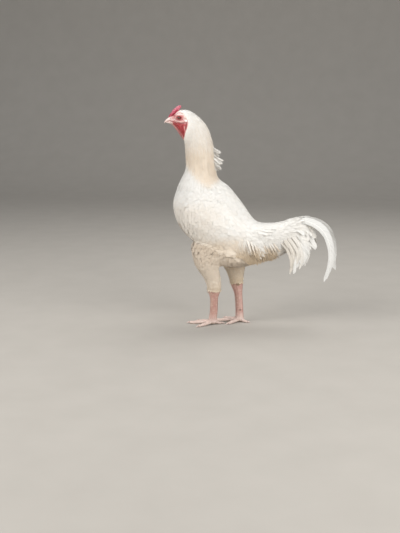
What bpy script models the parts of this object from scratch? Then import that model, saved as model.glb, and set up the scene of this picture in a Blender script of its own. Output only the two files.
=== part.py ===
"""A white game rooster standing at life size, for Blender 4.5.

The bird faces -X, +Z is up and its left side is -Y. Every length below is in millimetres, and mm() turns
it into Blender's metres. The design frame has its origin on the floor between the feet, and the last
step moves the model so that its origin is the bottom centre of its bounding box.
Each solid is the outer shape of the bird out to the tips of the plumage. The solids meet with a small gap.
"""
import math

import bmesh
import bpy
from mathutils import Vector
from mathutils.bvhtree import BVHTree

# Driving dimensions
MM = 0.001
GAP = 0.4                # clearance between neighbouring solids
AROUND = 18              # sides of a body section
NECK_TOP = ((-133.0, 557.0), (-80.0, 606.0))     # the cut between head and neck, front and back
NECK_MIDDLE = ((-126.0, 508.0), (-41.0, 526.0))  # between the upper and the lower neck
NECK_FOOT = ((-141.0, 428.0), (-18.0, 424.0))    # between neck and trunk
RUMP_FRONT = ((12.0, 150.0), (96.0, 330.0))      # between trunk and saddle
TAIL_FRONT = ((132.0, 190.0), (182.0, 345.0))    # between saddle and tail root
EYE = (-142.0, 13.0, 612.5)                      # centre of the right eyeball
EYE_RADIUS = 6.6
HOCK_HEIGHT = 110.0
SOLE = 0.0               # the floor

# Sections from the face to the tail root, each from its front or lower point to its back or upper point in
# the middle plane: front x, front z, back x, back z, half width, and how far the widest place lies back.
BODY_SECTIONS = [
    (-175.5, 598.5, -174.5, 611.0, 4.5, 0.0),       # base of the beak
    (-166.0, 594.5, -163.0, 619.0, 10.4, 0.05),
    (-149.0, 582.0, -139.0, 634.5, 16.0, 0.12),     # through the eyes
    (-137.5, 565.0, -105.0, 628.0, 20.0, 0.05),     # throat and back of the head
    (-129.0, 545.0, -64.0, 590.0, 27.5, 0.0),
    (-126.5, 510.0, -42.0, 530.0, 33.0, 0.0),       # middle of the neck
    (-125.0, 470.0, -34.5, 472.0, 36.0, 0.0),
    (-131.0, 449.0, -29.5, 438.0, 45.0, 0.0),       # foot of the neck
    (-149.0, 411.0, 8.0, 408.0, 64.0, -0.05),
    (-163.0, 354.0, 46.0, 361.0, 76.0, -0.12),      # shoulders
    (-139.0, 285.0, 84.0, 313.0, 75.0, -0.05),      # keel
    (-68.0, 222.0, 127.0, 307.5, 63.0, 0.05),
    (12.0, 176.0, 160.0, 313.5, 48.0, 0.05),        # vent
    (92.0, 189.0, 186.0, 322.0, 34.0, 0.15),
    (158.0, 212.0, 210.0, 322.5, 20.0, 0.1),        # tail root
    (204.0, 246.0, 232.0, 305.0, 9.5, 0.0),
    (217.0, 262.0, 237.0, 290.0, 5.0, 0.0),
]

# Folded wing, shoulder to tip: lower edge x and z, upper edge x and z, and how far it stands off the body.
WING_SECTIONS = [
    (-137.0, 352.0, -131.0, 366.0, 3.0),
    (-134.0, 333.0, -112.0, 390.0, 6.0),
    (-124.0, 296.0, -72.0, 402.0, 8.5),
    (-109.0, 271.0, -30.0, 396.0, 9.5),
    (-78.0, 257.0, 2.0, 378.0, 9.5),
    (-38.0, 244.0, 30.0, 350.0, 9.0),
    (-3.0, 226.0, 56.0, 316.0, 8.5),
    (40.0, 211.0, 80.0, 282.0, 7.5),
    (76.0, 198.0, 98.0, 246.0, 6.0),
    (97.0, 195.0, 103.0, 210.0, 4.0),
]
WING_SINK = 7.0          # how deep the wing lies in the body's flank
WING_ACROSS = 5

# Legs from hip to hock and from hock to foot: height, front x, back x, half width, distance off the middle.
LEFT_THIGH = [
    (290.0, -92.0, 0.0, 22.0, 40.0),
    (237.0, -105.0, 1.0, 26.5, 50.0),
    (187.0, -91.5, -20.5, 23.0, 48.5),
    (146.0, -65.5, -15.0, 17.0, 43.5),
    (116.0, -54.0, -14.5, 13.8, 40.5),
    (109.0, -50.0, -21.0, 10.5, 40.0),
]
RIGHT_THIGH = [
    (290.0, -58.0, 40.0, 22.0, 38.0),
    (237.0, -53.0, 52.5, 26.5, 47.0),
    (187.0, -30.0, 52.0, 22.5, 43.0),
    (150.0, -6.0, 47.5, 17.5, 37.0),
    (125.0, 5.0, 43.0, 14.0, 32.0),
    (118.0, 9.0, 39.0, 10.5, 31.0),
]
LEFT_SHANK = [
    (124.0, -46.0, -25.0, 8.0, 40.5),
    (107.0, -54.0, -17.5, 11.8, 39.6),
    (84.0, -46.5, -23.5, 9.0, 36.5),
    (42.0, -48.0, -26.0, 8.6, 29.2),
    (14.0, -54.0, -28.0, 11.5, 26.0),
]
RIGHT_SHANK = [
    (133.0, 14.0, 36.0, 8.0, 31.5),
    (115.0, 8.0, 43.5, 11.8, 30.2),
    (86.0, 19.5, 43.0, 9.0, 26.2),
    (42.0, 24.5, 46.5, 8.6, 19.2),
    (14.0, 22.5, 50.0, 11.5, 16.0),
]
# The full feathers behind the left thigh, under the wing tip: centre of an oval lump, and its half axes. The
# right thigh stands further back and fills this place itself.
FLANK = (10.0, -39.0, 219.0)
FLANK_SIZE = (68.0, 34.0, 37.0)
FOOT_SPLIT = 17.0        # height of the cut between shank and foot
LEFT_BALL = (-41.0, -26.0)
RIGHT_BALL = (36.0, 16.0)
BALL_RADIUS = 14.0
# Toes of the left foot: name, heading from straight ahead towards the bird's left, length, base radius.
LEFT_TOES = [
    ("inner", -32.0, 50.0, 6.0),
    ("middle", 1.0, 66.0, 6.6),
    ("outer", 48.0, 52.0, 5.8),
    ("hind", 200.0, 24.0, 5.2),
]
RIGHT_TOES = [
    ("inner", 52.0, 46.0, 6.0),
    ("middle", 3.0, 66.0, 6.6),
    ("outer", -36.0, 54.0, 5.8),
    ("hind", 158.0, 24.0, 5.2),
]
CLAW_LENGTH = 15.0

# Long tail feathers of one side: name, distance from the middle plane at root and tip, width, thickness,
# and the middle line from root to tip.
TAIL_FEATHERS = {
    "sickle_left": (-7.5, -15.0, 21.0, 3.2, [
        (196, 306), (222, 315), (252, 309), (279, 290), (297, 259), (305, 222), (302, 183), (288, 140)]),
    "sickle_right": (7.5, 15.0, 21.0, 3.2, [
        (196, 307), (224, 317), (256, 312), (284, 295), (303, 266), (312, 231), (314, 198), (320, 170)]),
    "covert_left_1": (-13.0, -24.0, 19.0, 3.2, [
        (176, 262), (204, 262), (222, 246), (229, 222), (224, 186)]),
    "covert_left_2": (-17.5, -32.0, 19.0, 3.2, [
        (160, 244), (186, 240), (200, 220), (204, 196), (199, 163)]),
    "covert_right_1": (13.0, 24.0, 19.0, 3.2, [
        (176, 262), (206, 262), (226, 246), (235, 226), (235, 205)]),
    "covert_right_2": (17.5, 32.0, 19.0, 3.2, [
        (160, 244), (186, 240), (202, 222), (209, 199), (208, 172)]),
    "tail_vane_left_1": (-4.0, -8.0, 20.0, 3.0, [(205, 292), (228, 287), (246, 275)]),
    "tail_vane_left_2": (-4.5, -12.0, 22.0, 3.0, [(206, 272), (232, 260), (262, 241)]),
    "tail_vane_right_1": (4.0, 8.0, 20.0, 3.0, [(205, 292), (228, 287), (250, 271)]),
    "tail_vane_right_2": (4.5, 12.0, 22.0, 3.0, [(206, 272), (228, 258), (248, 236)]),
}

COLOURS = {  # base colour, roughness
    "plumage": ((0.86, 0.82, 0.74, 1.0), 0.8),
    "bare_skin": ((0.62, 0.13, 0.12, 1.0), 0.5),
    "shank_skin": ((0.72, 0.46, 0.40, 1.0), 0.55),
    "horn": ((0.85, 0.76, 0.62, 1.0), 0.35),
    "eye": ((0.25, 0.12, 0.05, 1.0), 0.08),
    "lobe": ((0.86, 0.70, 0.68, 1.0), 0.5),
}


def mm(x, y, z):
    return Vector((x, y, z)) * MM


def clear_scene():
    for thing in list(bpy.data.objects):
        bpy.data.objects.remove(thing)


def collection(name, helper=False):
    made = bpy.data.collections.new(name)
    bpy.context.scene.collection.children.link(made)
    made.hide_render = helper
    return made


def material(name):
    made = bpy.data.materials.get(name)
    if made is None:
        colour, roughness = COLOURS[name]
        made = bpy.data.materials.new(name)
        made.use_nodes = True
        made.diffuse_color = colour
        surface = made.node_tree.nodes["Principled BSDF"]
        surface.inputs["Base Color"].default_value = colour
        surface.inputs["Roughness"].default_value = roughness
        surface.inputs["Metallic"].default_value = 0.0
    return made


def add_part(name, mesh_data, finish):
    mesh = bpy.data.meshes.new(name)
    mesh_data.to_mesh(mesh)
    mesh_data.free()
    mesh.shade_smooth()
    part = bpy.data.objects.new(name, mesh)
    mesh.materials.append(material(finish))
    rooster.objects.link(part)
    return part


def smooth_rows(rows, steps):
    """Catmull-Rom curve through rows of numbers, with steps spans between each pair."""
    rows = [tuple(map(float, row)) for row in rows]
    ends = [rows[0], *rows, rows[-1]]
    made = []
    for i in range(1, len(ends) - 2):
        p0, p1, p2, p3 = ends[i - 1:i + 3]
        for k in range(steps):
            t = k / steps
            made.append(tuple(
                0.5 * (2 * b + (c - a) * t + (2 * a - 5 * b + 4 * c - d) * t * t
                       + (3 * b - a - 3 * c + d) * t ** 3)
                for a, b, c, d in zip(p0, p1, p2, p3)))
    return made + [rows[-1]]


def loft(rings, tip_start=None, tip_end=None):
    """A closed skin through rings of points, ended by a flat face or by a pointed tip."""
    bm = bmesh.new()
    rows = [[bm.verts.new(p) for p in ring] for ring in rings]
    count = len(rows[0])
    for lower, upper in zip(rows, rows[1:]):
        for k in range(count):
            bm.faces.new((lower[k], lower[(k + 1) % count], upper[(k + 1) % count], upper[k]))
    for row, tip in ((rows[0], tip_start), (rows[-1], tip_end)):
        if tip is None:
            bm.faces.new(row)
            continue
        point = bm.verts.new(tip)
        for k in range(count):
            bm.faces.new((row[k], row[(k + 1) % count], point))
    bmesh.ops.recalc_face_normals(bm, faces=bm.faces)
    # Triangles here, so that a moved copy is faceted in the same way.
    bmesh.ops.triangulate(bm, faces=bm.faces)
    return bm


def oval(centre, axis_u, axis_v, count, skew=0.0):
    """Points of an oval about centre. skew moves its widest place along axis_u."""
    points = []
    for k in range(count):
        a = math.tau * k / count
        points.append(centre + axis_u * math.cos(a) + axis_v * (math.sin(a) * (1 + skew * math.cos(a))))
    return points


def inflated(bm, by=GAP):
    """A copy of a mesh with its surface moved out."""
    copy = bm.copy()
    copy.normal_update()
    moves = [v.normal * by * MM for v in copy.verts]
    for vert, move in zip(copy.verts, moves):
        vert.co += move
    return copy


def cut(part, cutters):
    """Cuts meshes away from the part, and applies the result."""
    for number, cutter in enumerate(cutters):
        mesh = bpy.data.meshes.new(f"{part.name}_cutter_{number}")
        cutter.to_mesh(mesh)
        tool = bpy.data.objects.new(mesh.name, mesh)
        tool.hide_render = True
        tool.display_type = "WIRE"
        cutters_box.objects.link(tool)
        step = part.modifiers.new(f"cut_{number}", "BOOLEAN")
        step.operation = "DIFFERENCE"
        step.solver = "EXACT"
        step.object = tool
        bpy.context.view_layer.update()
        graph = bpy.context.evaluated_depsgraph_get()
        result = bpy.data.meshes.new_from_object(part.evaluated_get(graph))
        part.modifiers.clear()
        part.data = result
        bpy.data.objects.remove(tool)
    return part


def keep_side(bm, chord, head_side, gap=GAP / 2):
    """Cuts a mesh along a chord of the middle plane and keeps the side nearer the head, or the other."""
    (x0, z0), (x1, z1) = chord
    a, b = mm(x0, 0, z0), mm(x1, 0, z1)
    normal = (b - a).cross(Vector((0, 1, 0))).normalized()
    if not head_side:
        normal = -normal
    keep_above(bm, a + normal * gap * MM, normal)


def keep_above(bm, point, normal):
    """Keeps what lies on the side of a plane that normal points to, and closes the cut with a flat face."""
    geometry = bm.verts[:] + bm.edges[:] + bm.faces[:]
    cut_made = bmesh.ops.bisect_plane(bm, geom=geometry, plane_co=point, plane_no=normal, clear_inner=True)
    rim = [e for e in cut_made["geom_cut"] if isinstance(e, bmesh.types.BMEdge) and e.is_valid]
    bmesh.ops.holes_fill(bm, edges=rim, sides=0)
    bmesh.ops.recalc_face_normals(bm, faces=bm.faces)


def body_whole():
    """Head, neck, trunk and tail root as one closed loft."""
    rings = []
    for fx, fz, bx, bz, half, skew in smooth_rows(BODY_SECTIONS, 2):
        front, back = mm(fx, 0, fz), mm(bx, 0, bz)
        rings.append(oval((front + back) / 2, (back - front) / 2, mm(0, half, 0), AROUND, skew))
    nose = mm(-177.0, 0, 604.0)
    end = mm(231.0, 0, 279.0)
    return loft(rings, nose, end)


def wing_mesh(body, side):
    """A folded wing: a plate that follows the body's flank, thickest in its middle. side is -1 or 1."""
    flank = BVHTree.FromBMesh(body)
    rings = []
    for lx, lz, ux, uz, proud in smooth_rows(WING_SECTIONS, 2):
        outer, inner = [], []
        for k in range(WING_ACROSS):
            t = k / (WING_ACROSS - 1)
            x, z = lx + (ux - lx) * t, lz + (uz - lz) * t
            hit = flank.ray_cast(mm(x, side * 200.0, z), Vector((0, -side, 0)))[0]
            surface = abs(hit.y) / MM if hit else 12.0
            surface = max(surface, 22.0)
            # Full at the lower edge, where it overhangs the thigh, and nearly flush at the upper.
            swell = 2.6 + (proud - 2.6) * (1 - t ** 3) * (0.75 + 0.25 * math.sin(math.pi * t))
            outer.append(mm(x, side * (surface + swell), z))
            inner.append(mm(x, side * (surface - WING_SINK * (0.45 + 0.55 * math.sin(math.pi * t))), z))
        rings.append(outer + inner[::-1])
    return loft(rings)


def leg_mesh(sections, side, count):
    rings = []
    for z, front, back, half, away in smooth_rows(sections, 2):
        rings.append(oval(mm((front + back) / 2, side * away, z), mm((back - front) / 2, 0, 0),
                          mm(0, half, 0), count))
    return loft(rings)


def toe_path(ball, heading):
    """Start, direction and sideways direction of a toe that leaves the ball of the foot."""
    angle = math.radians(heading)
    ahead = Vector((-math.cos(angle), -math.sin(angle), 0))
    start = mm(ball[0], ball[1], 0) + ahead * 3.0 * MM
    return start, ahead, Vector((-ahead.y, ahead.x, 0))


def toe_mesh(ball, heading, length, radius, hind):
    """A toe that arches over its joints and is flat where it stands on the floor."""
    start, ahead, across = toe_path(ball, heading)
    joints = 2 if hind else 3
    rings = []
    steps = 3 * joints - 1
    for k in range(steps + 1):
        s = k / steps
        swell = 1 + 0.09 * math.cos(math.tau * joints * s)
        thick = radius * (1 - 0.33 * s) * swell
        rise = 4.0 * (1 - s) ** 1.6 + thick * 0.86
        centre = start + ahead * length * s * MM + Vector((0, 0, rise * MM))
        rings.append(oval(centre, across * thick * MM, mm(0, 0, thick * 0.95), 8))
    end = start + ahead * (length + 1.5) * MM + mm(0, 0, radius * 0.55)
    bm = loft(rings, None, end)
    keep_above(bm, mm(0, 0, SOLE), Vector((0, 0, 1)))
    return bm


def claw_mesh(ball, heading, length, radius):
    """A claw that leaves the end of its toe and curves down to the floor."""
    start, ahead, across = toe_path(ball, heading)
    rings = []
    for k in range(4):
        s = k / 4
        reach = length - 3.0 + CLAW_LENGTH * s
        drop = radius * 0.62 + 2.6 * s - 5.6 * s * s
        thick = 3.1 * (1 - s) ** 0.8 + 0.35
        centre = start + ahead * reach * MM + mm(0, 0, drop)
        rings.append(oval(centre, across * thick * 0.8 * MM, mm(0, 0, thick), 6))
    bm = loft(rings, None, start + ahead * (length - 3.0 + CLAW_LENGTH) * MM + mm(0, 0, 0.5))
    keep_above(bm, mm(0, 0, SOLE), Vector((0, 0, 1)))
    return bm


def blade_mesh(y_root, y_tip, width, thickness, line):
    """A long feather: a flat lens swept along a curve of the side view, rounded at the tip."""
    path = smooth_rows(line, 2)
    last = len(path) - 1
    rings = []
    for k, (x, z) in enumerate(path[:-1]):
        x2, z2 = path[k + 1]
        x1, z1 = path[max(k - 1, 0)]
        along = Vector((x2 - x1, 0, z2 - z1)).normalized()
        across = Vector((-along.z, 0, along.x))
        s = k / last
        full = min(1.0, 0.72 + 1.2 * s) * (1 - s ** 6) ** 0.6
        y = y_root + (y_tip - y_root) * s
        rings.append(oval(mm(x, y, z), across * width / 2 * full * MM,
                          mm(0, thickness / 2 * (1 - 0.55 * s), 0), 6))
    x, z = path[-1]
    return loft(rings, None, mm(x, y_tip, z))


def comb_mesh():
    """A low pea comb: a long narrow lobe on the forehead that ends in a free point behind."""
    rings = []
    line = [(-176, 611, 3.5, 3.6), (-170, 618, 6.0, 5.4), (-163, 625, 7.2, 6.6), (-156, 632, 6.8, 6.2),
            (-149, 639, 5.6, 5.0), (-143, 645, 3.6, 3.2)]
    rows = smooth_rows(line, 2)
    for k, (x, z, high, half) in enumerate(rows):
        x2, z2 = rows[min(k + 1, len(rows) - 1)][:2]
        x1, z1 = rows[max(k - 1, 0)][:2]
        along = Vector((x2 - x1, 0, z2 - z1)).normalized()
        across = Vector((-along.z, 0, along.x))
        beads = 1 + 0.07 * math.cos(math.pi * k)
        ring = []
        for p in range(9):
            a = math.tau * p / 9
            lobes = 1 + 0.16 * math.cos(3 * a)   # one high ridge between two low ones
            ring.append(mm(x, 0, z) + across * high * lobes * beads * math.cos(a) * MM
                        + mm(0, half * lobes * beads * math.sin(a), 0))
        rings.append(ring)
    return loft(rings, mm(-178, 0, 609), mm(-139.5, 0, 648))


def upper_beak_mesh():
    rows = [(-164, 617.0, 603.8, 8.6), (-170, 616.4, 603.4, 8.2), (-176, 613.6, 602.9, 6.9),
            (-182, 609.4, 602.0, 5.0), (-186.5, 605.2, 600.4, 3.0), (-188.6, 601.6, 598.6, 1.5)]
    rings = []
    for x, top, bottom, half in rows:
        centre = mm(x, 0, bottom + (top - bottom) * 0.4)
        ring = []
        for p in range(12):
            a = math.tau * p / 12
            high = (top - bottom) * (0.6 if math.cos(a) > 0 else 0.4)
            ring.append(centre + mm(0, half * math.sin(a), high * math.cos(a)))
        rings.append(ring)
    return loft(rings, None, mm(-189.6, 0, 597.2))


def lower_beak_mesh():
    rows = [(-160, 602.6, 592.6, 8.6), (-167, 602.4, 593.4, 7.6), (-173, 602.1, 595.0, 6.2),
            (-179, 601.4, 596.8, 4.4), (-183.6, 600.2, 597.8, 2.2)]
    rings = []
    for x, top, bottom, half in rows:
        rings.append(oval(mm(x, 0, (top + bottom) / 2), mm(0, 0, (top - bottom) / 2), mm(0, half, 0), 10))
    return loft(rings, None, mm(-185.4, 0, 599.0))


def drop_mesh(centre, axis_long, axis_wide, axis_thick, count=10, rings_made=5):
    """A rounded lobe: an ellipsoid with its three half axes given as vectors."""
    rings = []
    for k in range(1, rings_made):
        a = math.pi * k / rings_made
        rings.append(oval(centre - axis_long * math.cos(a), axis_wide * math.sin(a),
                          axis_thick * math.sin(a), count))
    return loft(rings, centre - axis_long, centre + axis_long)


def dewlap_mesh():
    """The loose red fold along the middle of the throat."""
    rows = [(-168, 594.5, 3.0, 1.6), (-160, 588.5, 6.0, 3.4), (-152, 580.0, 8.0, 5.2),
            (-145, 570.5, 8.0, 5.8), (-138, 560.0, 6.0, 5.0), (-132.5, 552.0, 3.0, 3.0)]
    rings = []
    for k, (x, z, deep, half) in enumerate(rows):
        x2, z2 = rows[min(k + 1, len(rows) - 1)][:2]
        x1, z1 = rows[max(k - 1, 0)][:2]
        along = Vector((x2 - x1, 0, z2 - z1)).normalized()
        across = Vector((-along.z, 0, along.x))
        centre = mm(x, 0, z) + across * deep * 0.7 * MM
        rings.append(oval(centre, across * deep * MM, mm(0, half, 0), 10))
    return loft(rings, mm(-170.5, 0, 596.0), mm(-130.5, 0, 549.5))


def tuft_mesh(root, tip, half_wide, half_high):
    """A flat pointed lock of ruffled neck feathers."""
    root, tip = mm(*root), mm(*tip)
    along = tip - root
    up = along.cross(Vector((0, 1, 0))).normalized()
    rings = []
    for k in range(5):
        s = k / 5
        full = (1 - s ** 1.5) ** 0.8
        rings.append(oval(root + along * s, mm(0, half_wide * full, 0), up * half_high * full * MM, 10))
    return loft(rings, None, tip)


def spur_mesh(x, y, z, side):
    """A short blunt spur on the inner side of the shank, pointing inwards and a little back."""
    root = mm(x, y, z)
    along = Vector((0.45, -0.88 * side, 0.12)).normalized()
    across = along.cross(Vector((0, 0, 1))).normalized()
    rings = []
    for k in range(4):
        s = k / 4
        thick = 4.4 * (1 - s) ** 0.7 + 0.4
        rings.append(oval(root + along * 12.5 * s * MM, across * thick * MM, mm(0, 0, thick), 8))
    return loft(rings, None, root + along * 13.0 * MM)


def build_body(whole, wings):
    """Parts the whole body with thin cuts and gives each side a bed for its wing."""
    pieces = {
        "head": [(NECK_TOP, True)],
        "neck_upper": [(NECK_TOP, False), (NECK_MIDDLE, True)],
        "neck_lower": [(NECK_MIDDLE, False), (NECK_FOOT, True)],
        "trunk": [(NECK_FOOT, False), (RUMP_FRONT, True)],
        "saddle": [(RUMP_FRONT, False), (TAIL_FRONT, True)],
        "tail_root": [(TAIL_FRONT, False)],
    }
    beds = [inflated(wing) for wing in wings.values()]
    made = {}
    for name, cuts in pieces.items():
        bm = whole.copy()
        for chord, head_side in cuts:
            keep_side(bm, chord, head_side)
        made[name] = add_part(name, bm, "plumage")
        if name in ("trunk", "saddle"):
            cut(made[name], beds)
    return made


def build_head(head, whole):
    """Eyes, beak, comb, dewlap, wattles and ear lobes, each on the head or let into it."""
    sockets = []
    for side, label in ((-1, "left"), (1, "right")):
        x, y, z = EYE
        ball = bmesh.new()
        bmesh.ops.create_uvsphere(ball, u_segments=10, v_segments=6, radius=EYE_RADIUS * MM)
        bmesh.ops.translate(ball, verts=ball.verts, vec=mm(x, side * y, z))
        sockets.append(inflated(ball))
        add_part(f"eye_{label}", ball, "eye")
    skull = inflated(whole)
    upper = upper_beak_mesh()
    add_part("beak_upper", upper.copy(), "horn")
    add_part("beak_lower", lower_beak_mesh(), "horn")
    beak_room = [inflated(upper), inflated(lower_beak_mesh())]
    cut(head, sockets + beak_room)
    cut(add_part("comb", comb_mesh(), "bare_skin"), [skull, beak_room[0]])
    cut(add_part("dewlap", dewlap_mesh(), "bare_skin"), [skull, beak_room[1]])
    for side, label in ((-1, "left"), (1, "right")):
        lobe = drop_mesh(mm(-121.0, side * 18.4, 603.5), mm(5.4, 0, -1.5), mm(1.0, 0, 4.2),
                         mm(0, 3.6, 0))
        cut(add_part(f"ear_lobe_{label}", lobe, "lobe"), [skull])
        wattle = drop_mesh(mm(-128.5, side * 16.4, 583.0), mm(-1.0, side * -1.5, -12.0), mm(4.4, 0, 0),
                           mm(0, 3.4, 0))
        cut(add_part(f"wattle_{label}", wattle, "bare_skin"), [skull])


def build_ruff(whole):
    """The ruffled feathers that stand off the nape."""
    room = [inflated(whole)]
    for name, root, tip, wide, high in (
            ("ruff_middle", (-52, -2, 491), (-11.5, -4, 485), 17.0, 13.0),
            ("ruff_upper", (-56, -3, 512), (-20.5, -6, 511), 14.0, 13.0),
            ("ruff_lower", (-48, -2, 466), (-20.0, -2, 464), 15.0, 15.0)):
        tuft = tuft_mesh(root, tip, wide, high)
        cut(add_part(name, tuft.copy(), "plumage"), room)
        room.append(inflated(tuft))


def build_legs(whole, wings):
    for side, label, thigh, shank, ball, toes in (
            (-1, "left", LEFT_THIGH, LEFT_SHANK, LEFT_BALL, LEFT_TOES),
            (1, "right", RIGHT_THIGH, RIGHT_SHANK, RIGHT_BALL, RIGHT_TOES)):
        upper = leg_mesh(shank, side, 10)
        wing = wings[label]
        cut(add_part(f"thigh_{label}", leg_mesh(thigh, side, 14), "plumage"),
            [inflated(whole), inflated(wing), inflated(upper)])
        spur = spur_mesh(shank[-2][2] - 8.0, side * (shank[-2][4] - 4.0), 38.0, side)
        cut(add_part(f"spur_{label}", spur, "horn"), [inflated(upper)])
        keep_above(upper, mm(0, 0, FOOT_SPLIT + GAP / 2), Vector((0, 0, 1)))
        add_part(f"shank_{label}", upper, "shank_skin")
        build_foot(label, shank[-1], side, ball, toes)


def build_flank(whole, wing):
    long, wide, high = FLANK_SIZE
    lump = drop_mesh(mm(*FLANK), mm(long, 0, 0), mm(0, 0, high), mm(0, wide, 0), 16, 9)
    cut(add_part("flank_left", lump, "plumage"),
        [inflated(whole), inflated(wing), inflated(leg_mesh(LEFT_THIGH, -1, 14))])


def build_foot(label, ankle, side, ball, toes):
    """The ball of the foot with its toes and claws, all flat on the floor."""
    rings = []
    _, front, back, half, away = ankle
    top = FOOT_SPLIT - GAP / 2
    shape = ((top, 0.0, 0.0), (12.0, 0.5, 0.35), (7.0, 0.9, 0.8), (3.0, 1.0, 1.0), (SOLE, 0.86, 1.0))
    for z, grow, drift in shape:
        x = (front + back) / 2 * (1 - drift) + ball[0] * drift
        y = side * away * (1 - drift) + ball[1] * drift
        along = (back - front) / 2 * (1 - grow) + BALL_RADIUS * grow
        wide = half * (1 - grow) + BALL_RADIUS * 0.86 * grow
        rings.append(oval(mm(x, y, z), mm(along, 0, 0), mm(0, wide, 0), 12))
    pad = loft(rings)
    add_part(f"foot_{label}", pad.copy(), "shank_skin")
    room = [inflated(pad)]
    for name, heading, length, radius in toes:
        hind = name == "hind"
        toe = toe_mesh(ball, heading, length, radius, hind)
        cut(add_part(f"toe_{label}_{name}", toe.copy(), "shank_skin"), room)
        # Each toe leaves room for the next, so that neighbours don't share space at the ball.
        room.append(inflated(toe))
        claw = claw_mesh(ball, heading, length, radius)
        cut(add_part(f"claw_{label}_{name}", claw, "horn"), [inflated(toe)])


def build_tail(whole):
    root = inflated(whole)
    for name, (y_root, y_tip, width, thickness, line) in TAIL_FEATHERS.items():
        cut(add_part(name, blade_mesh(y_root, y_tip, width, thickness, line), "plumage"), [root])


def rest_on_origin():
    """Moves every part so that the origin is the bottom centre of the whole model."""
    bpy.context.view_layer.update()
    corners = [part.matrix_world @ Vector(c) for part in rooster.objects for c in part.bound_box]
    low = Vector(map(min, zip(*corners)))
    high = Vector(map(max, zip(*corners)))
    shift = Vector(((low.x + high.x) / 2, (low.y + high.y) / 2, low.z))
    for part in rooster.objects:
        for vert in part.data.vertices:
            vert.co -= shift


clear_scene()
rooster = collection("rooster")
cutters_box = collection("cutters", helper=True)
body = body_whole()
folded_wings = {"left": wing_mesh(body, -1), "right": wing_mesh(body, 1)}
for wing_label, wing_shape in folded_wings.items():
    add_part(f"wing_{wing_label}", wing_shape.copy(), "plumage")
body_parts = build_body(body, folded_wings)
build_head(body_parts["head"], body)
build_ruff(body)
build_legs(body, folded_wings)
build_flank(body, folded_wings["left"])
build_tail(body)
rest_on_origin()
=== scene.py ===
"""A white game rooster: skin, horn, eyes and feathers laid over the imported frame.

The bird faces -X and stands on z = 0, with its left side at -Y. Sizes inside the functions are millimetres
in the design frame, whose origin is on the floor between the feet. ORIGIN is where that lies in the model's
frame, in metres.
"""
import math
from functools import cache, partial

import bmesh
import bpy
import numpy as np
from bpy.props import FloatProperty, FloatVectorProperty, PointerProperty
from mathutils import Matrix, Vector, noise
from mathutils.bvhtree import BVHTree
from mathutils.kdtree import KDTree


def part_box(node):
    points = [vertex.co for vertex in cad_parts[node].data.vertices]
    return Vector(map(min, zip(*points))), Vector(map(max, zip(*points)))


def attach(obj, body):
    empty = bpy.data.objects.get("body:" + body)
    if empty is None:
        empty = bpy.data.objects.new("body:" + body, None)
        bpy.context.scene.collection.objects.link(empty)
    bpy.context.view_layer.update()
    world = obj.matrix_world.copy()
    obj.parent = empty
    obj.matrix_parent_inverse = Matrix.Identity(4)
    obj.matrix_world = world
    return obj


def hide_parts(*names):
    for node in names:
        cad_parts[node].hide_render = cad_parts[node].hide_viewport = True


bl_info = {
    "name": "White Game Rooster",
    "version": (1, 0, 0),
    "blender": (4, 5, 0),
    "location": "3D View > Sidebar > Rooster",
    "description": "Skin, horn, eyes and feathers of a life-size white game rooster",
    "category": "Object",
}

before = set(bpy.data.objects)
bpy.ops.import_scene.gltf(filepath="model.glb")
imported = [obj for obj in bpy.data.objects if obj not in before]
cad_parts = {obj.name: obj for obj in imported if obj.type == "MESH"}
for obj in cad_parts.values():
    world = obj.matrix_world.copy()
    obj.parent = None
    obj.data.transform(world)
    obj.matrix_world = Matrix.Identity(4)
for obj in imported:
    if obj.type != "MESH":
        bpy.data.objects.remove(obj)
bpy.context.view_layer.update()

MM = 0.001
EYE = (-142.0, 13.0, 612.5)          # centre of the right eyeball in the design frame
EYE_RADIUS = 6.6
_low, _high = (Vector(corner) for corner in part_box("eye_right"))
ORIGIN = (_low + _high) / 2 - Vector(EYE) * MM
SHIFT = np.array(ORIGIN)
FLOOR = 0.0
LABELS = {-1: "left", 1: "right"}

# Sections from the face to the tail root, each from its front or lower point to its back or upper point in
# the middle plane: front x and z, back x and z, half width, and how far back the widest place lies.
BODY = [
    (-175.5, 598.5, -174.5, 611, 4, 0), (-166, 594.5, -163, 619, 8.6, 0.05),
    (-149, 582, -139, 634.5, 15.6, 0.12), (-137.5, 565, -105, 628, 20, 0.05), (-129, 545, -64, 590, 27.5, 0),
    (-126.5, 510, -42, 530, 33, 0), (-125, 470, -34.5, 472, 36, 0), (-131, 449, -29.5, 438, 45, 0),
    (-149, 411, 8, 408, 64, -0.05), (-163, 354, 46, 361, 76, -0.12), (-139, 285, 84, 313, 75, -0.05),
    (-68, 222, 127, 307.5, 63, 0.05), (12, 176, 160, 313.5, 48, 0.05), (92, 189, 186, 322, 34, 0.15),
    (158, 212, 210, 322.5, 20, 0.1), (204, 246, 232, 305, 9.5, 0), (217, 262, 237, 290, 5, 0),
]
# Folded wing, shoulder to tip: lower edge x and z, upper edge x and z.
WING = [
    (-137, 352, -131, 366), (-134, 333, -112, 390), (-124, 296, -72, 402), (-109, 271, -30, 396),
    (-78, 257, 2, 378), (-38, 244, 30, 350), (-3, 226, 56, 316), (40, 211, 80, 282), (76, 198, 98, 246),
    (97, 195, 103, 210),
]
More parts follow.
